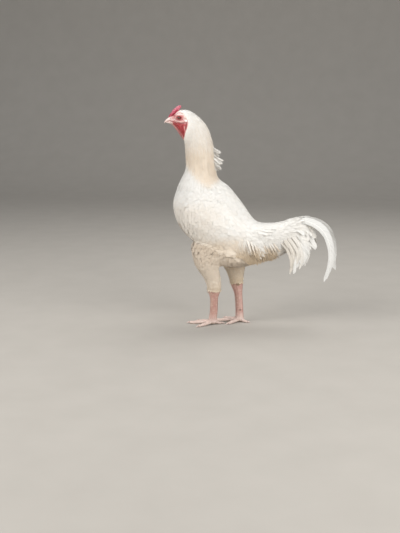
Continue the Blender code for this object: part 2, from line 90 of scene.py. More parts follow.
# Legs from hip to hock and from hock to foot: height, front x, back x, half width, distance off the middle.
THIGHS = {-1: [
    (290, -92, 0, 22, 40), (237, -105, 1, 26.5, 50), (187, -91.5, -20.5, 23, 48.5),
    (146, -65.5, -15, 17, 43.5), (116, -54, -14.5, 13.8, 40.5), (109, -50, -21, 10.5, 40),
], 1: [
    (290, -58, 40, 22, 38), (237, -53, 52.5, 26.5, 47), (187, -30, 52, 22.5, 43),
    (150, -6, 47.5, 17.5, 37), (125, 5, 43, 14, 32), (118, 9, 39, 10.5, 31),
]}
SHANKS = {-1: [
    (150, -52, -24, 7, 44), (124, -47.5, -23, 8.6, 40.8), (107, -54, -17.5, 11.2, 39.6),
    (84, -46.5, -23.5, 8.8, 36.5), (42, -48, -26, 8.4, 29.2), (14, -53, -29, 10.5, 26), (6, -51, -31, 9, 26),
], 1: [
    (160, 4, 34, 7, 36), (133, 11.5, 37.5, 8.6, 31.5), (115, 8, 43.5, 11.2, 30.2),
    (86, 19.5, 43, 8.8, 26.2), (42, 24.5, 46.5, 8.4, 19.2), (14, 24, 48.5, 10.5, 16), (6, 26, 46, 9, 16),
]}
BALLS = {-1: (-41, -26), 1: (36, 16)}
# Toes: heading from straight ahead towards the bird's left in degrees, length, radius at the base.
TOES = {
    -1: {"inner": (-32, 50, 6), "middle": (1, 66, 6.6), "outer": (48, 52, 5.8), "hind": (200, 24, 5.2)},
    1: {"inner": (52, 46, 6), "middle": (3, 66, 6.6), "outer": (-36, 54, 5.8), "hind": (158, 24, 5.2)},
}
CLAW_LENGTH = 15.0
# Tail feathers: y at the root and at the tip, width, then the line of the shaft in the side view as x and z.
TAIL = {
    "sickle_left": (-7.5, -15, 21, [(196, 306), (222, 315), (252, 309), (279, 290), (297, 259), (305, 222),
        (302, 183), (288, 140)]),
    "sickle_right": (7.5, 15, 21, [(196, 307), (224, 317), (256, 312), (284, 295), (303, 266), (312, 231),
        (314, 198), (320, 170)]),
    "covert_left_1": (-13, -24, 19, [(176, 262), (204, 262), (222, 246), (229, 222), (224, 186)]),
    "covert_left_2": (-17.5, -32, 19, [(160, 244), (186, 240), (200, 220), (204, 196), (199, 163)]),
    "covert_right_1": (13, 24, 19, [(176, 262), (206, 262), (226, 246), (235, 226), (235, 205)]),
    "covert_right_2": (17.5, 32, 19, [(160, 244), (186, 240), (202, 222), (209, 199), (208, 172)]),
    "tail_vane_left_1": (-4, -8, 20, [(205, 292), (228, 287), (246, 275)]),
    "tail_vane_left_2": (-4.5, -12, 22, [(206, 272), (232, 260), (262, 241)]),
    "tail_vane_right_1": (4, 8, 20, [(205, 292), (228, 287), (250, 271)]),
    "tail_vane_right_2": (4.5, 12, 22, [(206, 272), (228, 258), (248, 236)]),
}
# The cream cape ends on this line in the side view.
CAPE = [(-150, 500), (-114, 462), (-95, 440), (-65, 419), (-47, 412), (-21, 430), (0, 470)]
# The wing's lower edge and the fold that runs on from it, which the thigh and belly lie under: shade is
# painted into their feathers below this line.
CREASE = [(-136, 306), (-123, 279), (-92, 253), (-47, 239), (-4, 221), (45, 199), (90, 185)]
HANDOVER = (5.0, 18.0)      # from where to where below that place the skins of trunk and head both count
# The bare face ends on this line in the side view, from the forehead round the ear to the foot of the throat.
FACE_EDGE = [(-153, 637), (-148, 632), (-140, 629.5), (-132, 626.5), (-126, 621), (-121, 613), (-116, 605),
    (-114.5, 596), (-117.5, 584), (-121.5, 574), (-125, 564), (-128, 555), (-131, 549)]
# The full feathers behind the left thigh: centre of an oval lump, and its half axes.
FLANK = (10.0, -39.0, 219.0)
FLANK_SIZE = (68.0, 34.0, 37.0)

STEPS = []


# ======== Small tools

def step(operator):
    """Notes an operator as the next step of the build."""
    STEPS.append(operator)
    return operator


def colour(code):
    """sRGB hex to a linear colour with alpha."""
    parts = [int(code[i:i + 2], 16) / 255 for i in (1, 3, 5)]
    return [c / 12.92 if c <= 0.04045 else ((c + 0.055) / 1.055) ** 2.4 for c in parts] + [1.0]


def curve_rows(rows, s):
    """Rows of numbers read at the places s, on a Catmull-Rom curve through them."""
    rows = np.asarray(rows, float)
    s = np.clip(np.asarray(s, float), 0, len(rows) - 1 - 1e-9)
    i = s.astype(int)
    t = (s - i)[:, None]
    p0, p1 = rows[np.maximum(i - 1, 0)], rows[i]
    p2, p3 = rows[i + 1], rows[np.minimum(i + 2, len(rows) - 1)]
    return 0.5 * (2 * p1 + (p2 - p0) * t + (2 * p0 - 5 * p1 + 4 * p2 - p3) * t ** 2
        + (3 * p1 - p0 - 3 * p2 + p3) * t ** 3)


def along_rows(rows, s):
    """Columns of a table of rows, read for s from 0 at its first row to 1 at its last."""
    return curve_rows(rows, s * (len(rows) - 1)).T


def beside(*parts):
    """One array out of columns, each of them a number or one number per row."""
    return np.stack(np.broadcast_arrays(*parts), axis=-1)


def unit(v):
    v = np.asarray(v, float)
    return v / np.maximum(np.linalg.norm(v, axis=-1, keepdims=True), 1e-12)


def dot(a, b):
    return (a * b).sum(axis=-1)


def ramp(low, high, x):
    """0 below low, 1 above high, and smooth between. low may be the larger one."""
    t = np.clip((np.asarray(x, float) - low) / (high - low), 0, 1)
    return t * t * (3 - 2 * t)


def near_line(points, line):
    """Distance in millimetres from each point to a line through the given points."""
    line = np.asarray(line, float)
    best = np.full(len(points), 1e9)
    for a, b in zip(line[:-1], line[1:]):
        ab = b - a
        t = np.clip(((points - a) @ ab) / (ab @ ab), 0, 1)
        best = np.minimum(best, np.linalg.norm(points - a - t[:, None] * ab, axis=1))
    return best


def glow(points, line, radius):
    """1 on a line and falling off to 0 over about that radius, in millimetres."""
    return np.exp(-(near_line(points, line) / radius) ** 2)


def inside(flat, corners):
    """Which points lie inside a closed outline."""
    within = np.zeros(len(flat), bool)
    for a, b in zip(corners, np.roll(corners, -1, axis=0)):
        crosses = (a[1] > flat[:, 1]) != (b[1] > flat[:, 1])
        with np.errstate(divide="ignore", invalid="ignore"):
            x = a[0] + (flat[:, 1] - a[1]) / (b[1] - a[1]) * (b[0] - a[0])
        within ^= crosses & (flat[:, 0] < x)
    return within


def behind_face(p):
    """How far each point lies behind the edge of the bare face, in millimetres. Less than 0 is bare."""
    flat = p[:, [0, 2]]
    within = inside(flat, np.array(FACE_EDGE + [(-230, 549), (-230, 637)], float))
    away = near_line(flat, FACE_EDGE)
    return np.where(within, -away, away)


def neck_depth(p):
    """How deep the skin of head and neck lies under the tips of the plumage, in millimetres."""
    return np.interp(behind_face(p), [0, 2, 6, 14, 40, 90], [0.0, 0.4, 1.1, 2.0, 3.6, 4.6])


def down_neck(p):
    """How far each point lies below the place where the skins of head and trunk meet."""
    return (p[:, 0] + 97) * 0.35 - (p[:, 2] - 567) * 0.94


def soft_border(p):
    """Whether a point lies by the front or upper edge of the wing, which the body's feathers overlap."""
    flat = p[:, [0, 2]]
    upper = near_line(flat, [row[2:] for row in WING]) < near_line(flat, [row[:2] for row in WING])
    return upper | (p[:, 2] > 325)


def neck_cream(p):
    """1 on the cream neck and 0 below the edge of its cape, for an array of places."""
    return ramp(-13, 15, p[..., 2] - np.interp(p[..., 0], *np.transpose(CAPE)))


def body_points(s, theta):
    """Points of the body's outline in design millimetres. theta is 0 at the back and pi at the front."""
    fx, fz, bx, bz, half, skew = curve_rows(BODY, s).T
    c = np.cos(theta)
    return beside((fx + bx) / 2 + (bx - fx) / 2 * c, half * np.sin(theta) * (1 + skew * c),
        (fz + bz) / 2 + (bz - fz) / 2 * c)


def leg_points(rows, side, s, theta):
    z, front, back, half, away = curve_rows(rows, s).T
    return beside((front + back) / 2 + (back - front) / 2 * np.cos(theta), side * away + half * np.sin(theta),
        z)


def leg_form(rows, side, around, along):
    return tube(lambda s, a: leg_points(rows, side, s * (len(rows) - 1), a), around, along)


def wing_inside(p):
    """How far each point lies inside the outline of the folded wing, in millimetres."""
    rows = curve_rows(WING, np.linspace(0, len(WING) - 1, 60))
    outline = np.concatenate([rows[:, :2], rows[::-1, 2:]])
    flat = p[:, [0, 2]]
    away = near_line(flat, np.concatenate([outline, outline[:1]]))
    return np.where(inside(flat, outline), away, -away)


# ======== Meshes

def move(bm, p):
    for v, co in zip(bm.verts, np.asarray(p) * MM + SHIFT):
        v.co = co


def places(bm):
    """Vertex places in design millimetres, and their normals."""
    bm.normal_update()
    p = np.array([v.co for v in bm.verts])
    return (p - SHIFT) / MM, np.array([v.normal for v in bm.verts])


def tube(place, around, along):
    """A closed form whose points are place(s, angle) for s from 0 to 1 and a full turn, with capped ends."""
    bm = bmesh.new()
    bmesh.ops.create_grid(bm, x_segments=around, y_segments=along, size=0.5)
    grid = np.array([v.co[:2] for v in bm.verts]) + 0.5
    move(bm, place(grid[:, 1], grid[:, 0] * math.tau))
    bmesh.ops.remove_doubles(bm, verts=bm.verts, dist=2e-6)
    rims = [e for e in bm.edges if e.is_boundary]
    if rims:
        bmesh.ops.holes_fill(bm, edges=rims, sides=0)
    bmesh.ops.recalc_face_normals(bm, faces=bm.faces)
    return bm


def ball(centre, radii, turn=0.0, segments=32, rings=20, axis="Y"):
    """An ellipsoid with its half axes along x, y and z, then turned about an axis."""
    bm = bmesh.new()
    bmesh.ops.create_uvsphere(bm, u_segments=segments, v_segments=rings, radius=1.0)
    bmesh.ops.scale(bm, vec=Vector(radii) * MM, verts=bm.verts)
    bmesh.ops.rotate(bm, matrix=Matrix.Rotation(turn, 3, axis), verts=bm.verts)
    bmesh.ops.translate(bm, vec=Vector(centre) * MM + ORIGIN, verts=bm.verts)
    return bm


def stored_mesh(name, bm):
    """A mesh with the shape of bm, which is used up."""
    mesh = bpy.data.meshes.new(name)
    bm.to_mesh(mesh)
    bm.free()
    return mesh


def placed(name, data):
    """A new object in the scene."""
    made = bpy.data.objects.new(name, data)
    bpy.context.scene.collection.objects.link(made)
    return made


def joined(parts):
    """One bmesh out of several, which are used up."""
    whole = bmesh.new()
    for part in parts:
        mesh = stored_mesh("part", part)
        whole.from_mesh(mesh)
        bpy.data.meshes.remove(mesh)
    return whole


def smoothed(bm, verts, factor=0.5, times=1):
    for _ in range(times):
        bmesh.ops.smooth_vert(bm, verts=verts, factor=factor, use_axis_x=True, use_axis_y=True,
            use_axis_z=True)


def remeshed(bm, voxel, smooth=1):
    """The outer surface of overlapping closed forms as one even skin. voxel is in millimetres."""
    holder = placed("remesh", stored_mesh("remesh", bm))
    even = holder.modifiers.new("even_skin", "REMESH")
    even.mode = "VOXEL"
    even.voxel_size = voxel * MM
    result = bpy.data.meshes.new_from_object(holder.evaluated_get(bpy.context.evaluated_depsgraph_get()))
    made = bmesh.new()
    made.from_mesh(result)
    bpy.data.meshes.remove(holder.data)
    bpy.data.meshes.remove(result)
    smoothed(made, made.verts, times=smooth)
    return made


def floats(bm, name, values):
    """Stores one number per vertex."""
    layer = bm.verts.layers.float.new(name)
    for v, value in zip(bm.verts, values):
        v[layer] = float(value)


def piece(name, form, finish, slot, *replaced):
    """A piece that rides on the root with its finish, in place of the named nodes. form is its bmesh or its
    mesh, and slot is not used."""
    mesh = stored_mesh(name, form) if isinstance(form, bmesh.types.BMesh) else form
    mesh.shade_smooth()
    mesh.materials.append(surface(finish))
    made = placed(name, mesh)
    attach(made, "root")
    if replaced:
        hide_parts(*replaced)
    return made


def snap(tree, points):
    """The nearest places on the surface, and the surface's normals there."""
    found = np.array([tree.find_nearest(p)[:2] for p in np.reshape(points, (-1, 3))])
    return found[:, 0].reshape(np.shape(points)), found[:, 1].reshape(np.shape(points))


def strokes(p, n, lines):
    """Ridges and grooves drawn on the side of the head: each has its height, its radius and its line in the
    side view. Returns the moved points and how deep each lies in a groove."""
    deep, total = np.zeros((2, len(p)))
    for amount, radius, line in lines:
        pull = glow(p[:, [0, 2]], line, radius) * ramp(0.1, 0.5, np.abs(n[:, 1]))
        total += amount * pull
        if amount < 0:
            deep = np.maximum(deep, pull * min(1.0, -amount))
    return p + n * total[:, None], deep


def rough(p, scale, seed=0.0):
    """Smooth noise of about -1 to 1 with bumps about scale millimetres across."""
    return np.array([noise.noise(Vector(q) / scale + Vector((seed, 0, 0))) for q in p])


# ======== Materials

def put(tree, kind, *values, out=None, **settings):
    """Adds one node and returns its output out, or else its first. The values go into its inputs in order,
    and names with a capital into the inputs of those names: each is a value, or a socket to link from."""
    made = tree.nodes.new("ShaderNode" + kind)
    named = [(key, settings.pop(key)) for key in list(settings) if key[0].isupper()]
    for key, value in settings.items():
        setattr(made, key, value)
    pairs = list(zip([socket for socket in made.inputs if socket.enabled], values))
    for socket, value in pairs + [(made.inputs[key.replace("_", " ")], value) for key, value in named]:
        if isinstance(value, bpy.types.NodeSocket):
            tree.links.new(value, socket)
        else:
            socket.default_value = value
    return made.outputs[out] if out else next((socket for socket in made.outputs if socket.enabled), None)


def layered(tree, base, *layers):
    """Colours laid over each other. A layer is its share, which may be the name of a stored field, and its
    colour."""
    for share, tint in layers:
        if isinstance(share, str):
            share = put(tree, "Attribute", out="Fac", attribute_name=share)
        tint = colour(tint) if isinstance(tint, str) else tint
        base = put(tree, "Mix", share, base, tint, data_type="RGBA")
    return base


BARB_STEP = 0.7          # barbs as drawn, in millimetres: far coarser than the real 0.05 so that they show


def feather_surface(tree, main, warm, shade, straw):
    """Feather vane: matt white keratin barbs that scatter light softly, with a faint silky sheen along them.
    main is the vane, warm its cream parts, shade the colour of the painted shade at each feather's hidden
    base and wherever its tone asks for it, and straw the stained tips."""
    across = put(tree, "SeparateXYZ", put(tree, "UVMap", uv_map="Vane"))
    along = across.node.outputs["Y"]
    stain, tone, span = (put(tree, "Attribute", out="Fac", attribute_name=key)
        for key in ("straw", "tone", "span"))
    tip = put(tree, "Math", put(tree, "MapRange", along, 0.55, 1.0), stain, operation="MULTIPLY")
    # down is painted shade: each feather darkens towards its hidden base, and further by its tone, which is
    # random tone plus painted shade where a tract sets it.
    down = put(tree, "Math", put(tree, "MapRange", along, 0.3, 0.0, 0.0, 0.25), tone, operation="MAXIMUM")
    # Barbs slant outwards and forwards from the shaft. span is the feather's length in millimetres.
    width = put(tree, "Math", put(tree, "Math", across, 0.5, operation="SUBTRACT"), operation="ABSOLUTE")
    shaft, barbs = put(tree, "MapRange", width, 0.05, 0.0, 0.0, 0.8), width
    for operation, value in (("MULTIPLY", -0.45), ("ADD", along), ("MULTIPLY", span),
            ("MULTIPLY", math.tau / BARB_STEP), ("SINE", 0), ("ADD", shaft)):
        barbs = put(tree, "Math", barbs, value, operation=operation)
    return put(tree, "BsdfPrincipled", layered(tree, main, ("cream", warm), (tip, straw), (down, shade)),
        Roughness=0.72, IOR=1.45, Specular_IOR_Level=0.25, Sheen_Weight=0.25, Sheen_Roughness=0.5,
        Normal=put(tree, "Bump", 0.2, 0.00015, Height=barbs))


def skin_surface(tree, pink, red, under):
    """Bare poultry skin: thin, finely pebbled and full of blood, so it looks soft and a little moist. Under
    the plumage it takes the coat's own colour."""
    where = put(tree, "TexCoord", out="Object")
    blotch = put(tree, "TexNoise", where, 1 / (3.85 * MM), 4.0)
    spread = put(tree, "MapRange", blotch, 0.35, 0.65)
    calm, deep = layered(tree, pink, (spread, "#c47f7b")), layered(tree, red, (spread, "#983436"))
    # The grooves' layer is painted shade in the face's grooves and along the gape. The socket layer is the
    # lids' dark skin with painted shade round the eye.
    flesh = layered(tree, calm, ("flush", deep), ("pale", "#eed3cb"), ("smudge", "#a58c80"),
        ("socket", "#853a37"), ("painted_crease_shade", "#6c2023"))
    pebbles = put(tree, "Bump", 0.4, 0.0003, Height=put(tree, "TexVoronoi", where, 1 / (1.05 * MM)))
    return put(tree, "BsdfPrincipled", layered(tree, under, ("bare", flesh)), Roughness=0.5, IOR=1.4,
        Subsurface_Weight=0.12, Subsurface_Radius=(1.0, 0.35, 0.25), Subsurface_Scale=0.002,
        Normal=put(tree, "Bump", 0.3, 0.0006, Height=blotch, Normal=pebbles))


def scale_surface(tree, plate, groove):
    """Leg scales: thin horny plates over pink skin, satin on top, redder and matt in the grooves, and paler
    on the feet from 34 mm above the floor down, as dust and as painted light from above."""
    where = put(tree, "TexCoord", out="Object")
    patches = put(tree, "MapRange", put(tree, "TexNoise", where, 1 / (9.1 * MM), 4.0), 0.35, 0.65)
    tone, cut = (put(tree, "Attribute", out="Fac", attribute_name=key) for key in ("tone", "groove"))
    flushed = put(tree, "Math", tone, 0.6, operation="MULTIPLY")
    height = put(tree, "SeparateXYZ", where, out="Z")
    # Towards the floor the plates turn pale, as dust and as painted light from above.
    base = layered(tree, plate, (patches, "#c4978b"), (flushed, "#a97a70"), (cut, groove),
        (put(tree, "MapRange", height, 0.034, 0.008, 0.0, 0.6), "#e4d6cb"))
    grain = put(tree, "TexNoise", where, 1 / (0.77 * MM), 2.0)
    return put(tree, "BsdfPrincipled", base, Roughness=put(tree, "MapRange", cut, 0.0, 1.0, 0.45, 0.75),
        IOR=1.5, Normal=put(tree, "Bump", 0.3, 0.0002, Height=grain))


def horn_surface(tree, light, dark):
    """Horn: dense layered keratin, smooth and slightly glossy, with growth lines along it, drawn 6.67 mm long
    and 1.25 mm across."""
    where = put(tree, "Mapping", put(tree, "TexCoord", out="Object"),
        Scale=[1 / (size * MM) for size in (6.67, 1.25, 1.25)])
    grain = put(tree, "TexNoise", where, 1.0, 3.0)
    lines = put(tree, "MapRange", grain, 0.45, 0.8, 0.0, 0.35)
    return put(tree, "BsdfPrincipled", layered(tree, light, ("tone", dark), (lines, dark)), Roughness=0.34,
        IOR=1.54, Normal=put(tree, "Bump", 0.15, 0.0002, Height=grain))


def comb_surface(pebble, tree, red, light):
    """Comb and lobe skin: velvety tissue full of blood, soft, with pebbles of that size in millimetres. The
    tone field lays light over red: on the comb that is a painted highlight, on the lobe its own white middle.
    """
    where = put(tree, "TexCoord", out="Object")
    patches = put(tree, "MapRange", put(tree, "TexNoise", where, 1 / (3.1 * MM), 3.0), 0.4, 0.7, 0.0, 0.5)
    pebbles = put(tree, "TexVoronoi", where, 1 / (pebble * MM))
    return put(tree, "BsdfPrincipled", layered(tree, red, ("tone", light), (patches, red)), Roughness=0.5,
        Subsurface_Weight=0.12, Subsurface_Radius=(1.0, 0.3, 0.25), Subsurface_Scale=0.002,
        Normal=put(tree, "Bump", 0.5, 0.0004, Height=pebbles))


def eye_surface(tree, iris):
    """Bird's eye: a clear wet cornea over a red-brown iris with fine radial fibres, round a black pupil."""
    fibres = put(tree, "TexNoise", put(tree, "TexCoord", out="Object"), 1 / (0.67 * MM), 2.0)
    reach = put(tree, "Attribute", out="Fac", attribute_name="reach")
    ring = layered(tree, iris, (fibres, "#7e3022"))
    base = layered(tree, colour("#090505"), (put(tree, "MapRange", reach, 1.6, 1.9), ring),
        (put(tree, "MapRange", reach, 4.0, 4.8), "#35140f"))
    return put(tree, "BsdfPrincipled", base, Roughness=0.1, IOR=1.38, Coat_Weight=1.0, Coat_Roughness=0.03)


def backdrop_surface(tree, paper):
    """Matt backdrop paper: even, pale and without shine."""
    clouds = put(tree, "TexNoise", put(tree, "TexCoord", out="Object"), 1 / (110 * MM), 3.0)
    fibre = put(tree, "MapRange", clouds, 0.3, 0.7, 0.0, 0.25)
    return put(tree, "BsdfPrincipled", layered(tree, paper, (fibre, "#a49e95")), Roughness=0.9)


FINISHES = {
    "body_feathers": (feather_surface, "plumage", "cream", "#ad9a84", "straw"),
    "tail_plumes": (feather_surface, "plumage", "cream", "#aaa9a3", "straw"),
    "poultry_skin": (skin_surface, "face_pink", "face_red", "cream"),
    "leg_scales": (scale_surface, "leg", "#a5665c"),
    "bill_horn": (horn_surface, "horn", "#c0908a"),
    "claw_horn": (horn_surface, "horn", "#8d6f5e"),
    "comb_skin": (partial(comb_surface, 1.43), "comb", "#dd8c98"),
    "lobe_skin": (partial(comb_surface, 0.91), "#d9a79f", "lobe"),
    "wet_eye": (eye_surface, "iris"),
    "backdrop_paper": (backdrop_surface, "backdrop"),
}


def surface(name):
    """The material of that name, made when it is first wanted. A tint with no # is one of the add-on's."""
    if name not in bpy.data.materials:
        maker, *tints = FINISHES[name]
        made = bpy.data.materials.new(name)
        made.use_nodes = True
        made.node_tree.nodes.clear()
        chosen = bpy.context.scene.rooster_colours
        put(made.node_tree, "OutputMaterial", maker(made.node_tree,
            *(colour(tint) if tint[0] == "#" else [*getattr(chosen, tint), 1.0] for tint in tints)))
    return bpy.data.materials[name]


# ======== Feathers

ROWS = np.array([0.0, 0.12, 0.32, 0.55, 0.75, 0.9, 0.97, 1.0])
CROSS = {2: [(-1, 0), (0, 1), (1, 0)],
         3: [(-1, 0), (0, 1), (1, 0), (0, -1)],
         5: [(-1, 0), (-0.5, 0.75), (0, 1), (0.5, 0.75), (1, 0), (0, -1)]}
PROFILES = {
    "round": np.array([0, 0.45, 0.86, 1.0, 0.95, 0.68, 0.36, 0]),
    "lance": np.array([0, 0.6, 1.0, 0.92, 0.7, 0.4, 0.16, 0]),
    "strap": np.array([0, 0.5, 0.85, 1.0, 1.0, 0.85, 0.5, 0]),
    "plate": np.array([0, 0.8, 0.97, 1.0, 1.0, 0.93, 0.75, 0]),
    "saddle": np.array([0, 0.55, 0.95, 1.0, 0.92, 0.6, 0.28, 0]),
}
PATCH = 0.003            # size of one feather's patch on the OFBake map
PIECE_LIMIT = 185000     # triangles in one piece of the coat
BLOCK_LIMIT = 1200       # feathers in one block of a piece
TAGS = ("tone", "cream", "straw", "span")


class Coat:
    """Feathers gathered as arrays, then made into meshes that each stay under PIECE_LIMIT triangles. Each
    feather is a thin closed blade."""

    def __init__(self):
        self.blocks = []

    def add(self, centre, normal, half, rows, patch, thick=0.3, camber=0.12, columns=3, along=None, **tags):
        """centre and normal are (feathers, rows, 3) and half (feathers, rows). patch is each root's place on
        the unwrap, and along each row's share of the whole feather where that isn't rows itself."""
        n, r = centre.shape[:2]
        if n > BLOCK_LIMIT:
            whole = {"thick": thick, "along": along, **tags}
            for part in (slice(0, n // 2), slice(n // 2, n)):
                shared = {key: value[part] if np.ndim(value) and len(value) == n else value
                    for key, value in whole.items()}
                self.add(centre[part], normal[part], half[part], rows, patch[part], camber=camber,
                    columns=columns, **shared)
            return
        if n == 0:
            return
        way = unit(np.gradient(centre, axis=1))
        across = unit(np.cross(way, normal))
        up = np.cross(across, way)
        cross = np.array(CROSS[columns], float)
        count = len(cross)
        u, v = cross[:, 0], cross[:, 1]
        broad = half[:, 1:-1, None, None]
        depth = (np.reshape(thick, (-1, 1)) * (1 - 0.6 * rows))[:, 1:-1, None, None]
        high = depth / 2 * v[:, None] - camber * broad * u[:, None] ** 2
        ring = centre[:, 1:-1, None] + across[:, 1:-1, None] * (broad * u[:, None]) + up[:, 1:-1, None] * high
        co = np.concatenate([centre[:, :1], ring.reshape(n, -1, 3), centre[:, -1:]], axis=1)
        size = 2 + (r - 2) * count
        turn = np.roll(np.arange(count), -1)
        k = np.arange(count)
        first = beside(0, 1 + turn, 1 + k)
        base = 1 + count * np.arange(r - 3)[:, None]
        quads = beside(base + k, base + turn, base + count + turn, base + count + k).reshape(-1, 4)
        last = 1 + count * (r - 3)
        end = beside(last + k, last + turn, size - 1)
        one = np.concatenate([first.ravel(), quads.ravel(), end.ravel()])
        lengths = np.concatenate([np.full(count, 3), np.full(len(quads), 4), np.full(count, 3)])
        begin = np.concatenate([[0], np.cumsum(lengths)[:-1]])

        def per_vertex(values):
            values = np.asarray(values, float)
            values = np.broadcast_to(values[:, None] if values.ndim == 1 else values, (n, r))
            return np.concatenate([values[:, :1], np.repeat(values[:, 1:-1], count, axis=1), values[:, -1:]],
                axis=1)

        side = np.concatenate([[0.0], np.tile(u, r - 2), [0.0]]) / 2 + 0.5
        shares = per_vertex(rows[None] if along is None else along)[:, one]
        vane = beside(side[one], shares)
        edge = np.concatenate([[True], np.tile(np.abs(u) == 1, r - 2), [True]])
        block = {"co": co.reshape(-1, 3), "side": np.tile(edge, n), "Vane": vane.reshape(-1, 2),
            "OFBake": (np.asarray(patch)[:, None] + PATCH * (vane - 0.5)).reshape(-1, 2),
            "corners": (one + size * np.arange(n)[:, None]).ravel(),
            "starts": (begin + len(one) * np.arange(n)[:, None]).ravel(),
            "triangles": n * (2 * count + 2 * len(quads))}
        for key in TAGS:
            block[key] = per_vertex(tags.get(key, 0.0)).ravel()
        self.blocks.append(block)

    def make(self, name, finish="body_feathers", slot="plumage"):
        """One or more pieces, named name, name_2 and so on."""
        groups, total = [[]], 0
        for block in self.blocks:
            if total + block["triangles"] > PIECE_LIMIT:
                groups.append([])
                total = 0
            groups[-1].append(block)
            total += block["triangles"]
        return [coat_piece(name if number == 1 else "%s_%d" % (name, number), blocks, finish, slot)
            for number, blocks in enumerate(groups, 1)]


def coat_piece(name, blocks, finish, slot):
    mesh = bpy.data.meshes.new(name)

    def merged(key, by=None):
        """The blocks' arrays in one. Numbers of things in the array by count on from block to block."""
        parts, start = [], 0
        for block in blocks:
            parts.append(block[key] + start if by else block[key])
            start += len(block[by]) if by else 0
        return np.concatenate(parts)

    co, corners = merged("co") * MM + SHIFT, merged("corners", "co")
    starts = merged("starts", "corners")
    mesh.vertices.add(len(co))
    mesh.vertices.foreach_set("co", co.astype(np.float32).ravel())
    mesh.loops.add(len(corners))
    mesh.loops.foreach_set("vertex_index", corners.astype(np.int32))
    mesh.polygons.add(len(starts))
    mesh.polygons.foreach_set("loop_start", starts.astype(np.int32))
    mesh.update(calc_edges=True)
    for layer in ("OFBake", "Vane"):
        mesh.uv_layers.new(name=layer).data.foreach_set("uv", merged(layer).astype(np.float32).ravel())
    for key in TAGS:
        mesh.attributes.new(key, "FLOAT", "POINT").data.foreach_set("value", merged(key).astype(np.float32))
    pairs = np.empty(len(mesh.edges) * 2, np.int32)
    mesh.edges.foreach_get("vertices", pairs)
    side = merged("side")[pairs.reshape(-1, 2)].all(axis=1)
    made = piece(name, mesh, finish, slot)
    mesh.attributes.new("sharp_edge", "BOOLEAN", "EDGE").data.foreach_set("value", side)
    return made


STRAND_ROWS = np.array([0.0, 0.4, 0.8, 1.0])


def fringe(coat, rng, centre, normal, half, rows, patch, count, overhang=1.3, start=0.5, wide=0.42, fan=1.25,
        **tags):
    """Loose barb ends round the tips of feathers: thin strands that start on the vane and end overhang
    millimetres past its edge. fan is how far round the tip they reach."""
    n, r = centre.shape[:2]
    reach = half.max(axis=1)
    length = np.linalg.norm(np.diff(centre, axis=1), axis=2).sum(axis=1)
    angle = np.linspace(-fan, fan, count) + rng.uniform(-0.5, 0.5, (n, count)) * 2 * fan / count
    past = overhang * rng.uniform(0.5, 1.3, (n, count))
    # Where each strand ends: across and along the feather, in millimetres.
    widest = rows[np.argmax(half, axis=1)][:, None] * length[:, None]
    tip = length[:, None] - widest
    end_across = (reach[:, None] + past) * np.sin(angle)
    end_along = widest + (tip + past) * np.cos(angle) ** 0.8
    begin_across = end_across * 0.3
    begin_along = np.maximum(end_along - start * length[:, None] * rng.uniform(0.75, 1.1, (n, count)),
        0.25 * length[:, None])
    tau = STRAND_ROWS[None, None]
    across = begin_across[..., None] + (end_across - begin_across)[..., None] * tau ** 1.2
    along = (begin_along[..., None] + (end_along - begin_along)[..., None] * tau) / length[:, None, None]
    index = np.clip(np.searchsorted(rows, along) - 1, 0, r - 2)
    rest = (along - rows[index]) / (rows[index + 1] - rows[index])
    pick = np.arange(n)[:, None, None]
    near, far = centre[pick, index], centre[pick, index + 1]
    way, out = unit(far - near), normal[pick, index + 1]
    side = unit(np.cross(way, out))
    rise = rng.uniform(0.0, 0.5, (n, count, 1)) * tau + 0.12 - 0.1 * np.abs(across) / reach[:, None, None]
    spot = near + (far - near) * rest[..., None] + side * across[..., None] + out * rise[..., None]
    strands = spot.reshape(n * count, -1, 3)
    flat = np.broadcast_to(out, spot.shape).reshape(strands.shape)
    shape = np.array([0.0, 1.0, 0.6, 0.0]) * wide * rng.uniform(0.7, 1.3, (n * count, 1))
    more = {key: np.repeat(value[:, -2] if np.ndim(value) == 2 else value, count, axis=0)
        if np.ndim(value) else value for key, value in tags.items()}
    coat.add(strands, flat, shape, STRAND_ROWS, np.repeat(patch, count, axis=0), thick=0.12, camber=0.0,
        columns=2, along=np.clip(along, 0, 1).reshape(n * count, -1), **more)


def lay(tree, roots, normals, heading, length, depth, rows=ROWS, rise=1.8, pull=None, stiff=1.0, cling=True):
    """Shafts that leave the roots along heading and follow the surface, rising to depth above it at the tip.
    pull bends them on their way. Without cling they hang free where the surface turns away from them."""
    n, r = len(roots), len(rows)
    centre, facing = np.empty((n, r, 3)), np.empty((n, r, 3))
    way = unit(heading - normals * dot(heading, normals)[:, None])
    depth, length = np.broadcast_to(depth, n), np.broadcast_to(length, n)
    centre[:, 0], facing[:, 0] = roots, normals
    for k in range(1, r):
        want = depth * (1 - (1 - rows[k]) ** rise)
        q = centre[:, k - 1] + way * (length * (rows[k] - rows[k - 1]))[:, None]
        near, out = snap(tree, q)
        gap = dot(q - near, out)
        held = np.ones(n, bool) if cling else gap < want
        q[held] = near[held] + out[held] * want[held][:, None]
        turned = unit(q - centre[:, k - 1])
        if pull is not None:
            turned = unit(turned * stiff + pull * (1 - stiff))
        facing[:, k] = np.where(held[:, None], unit(out + 0.5 * facing[:, k - 1]), facing[:, k - 1])
        centre[:, k] = q
        way = turned
    return centre, facing


def blades(half, profile, rng, uneven=0.06):
    """Half widths of every row, with slightly uneven edges."""
    shape = PROFILES[profile] if isinstance(profile, str) else profile
    return half[:, None] * shape * (1 + uneven * rng.uniform(-1, 1, (len(half), len(shape))))


def lookup(points):
    """A tree that finds the nearest of the points."""
    tree = KDTree(len(points))
    for i, p in enumerate(points):
        tree.insert(p, i)
    tree.balance()
    return tree


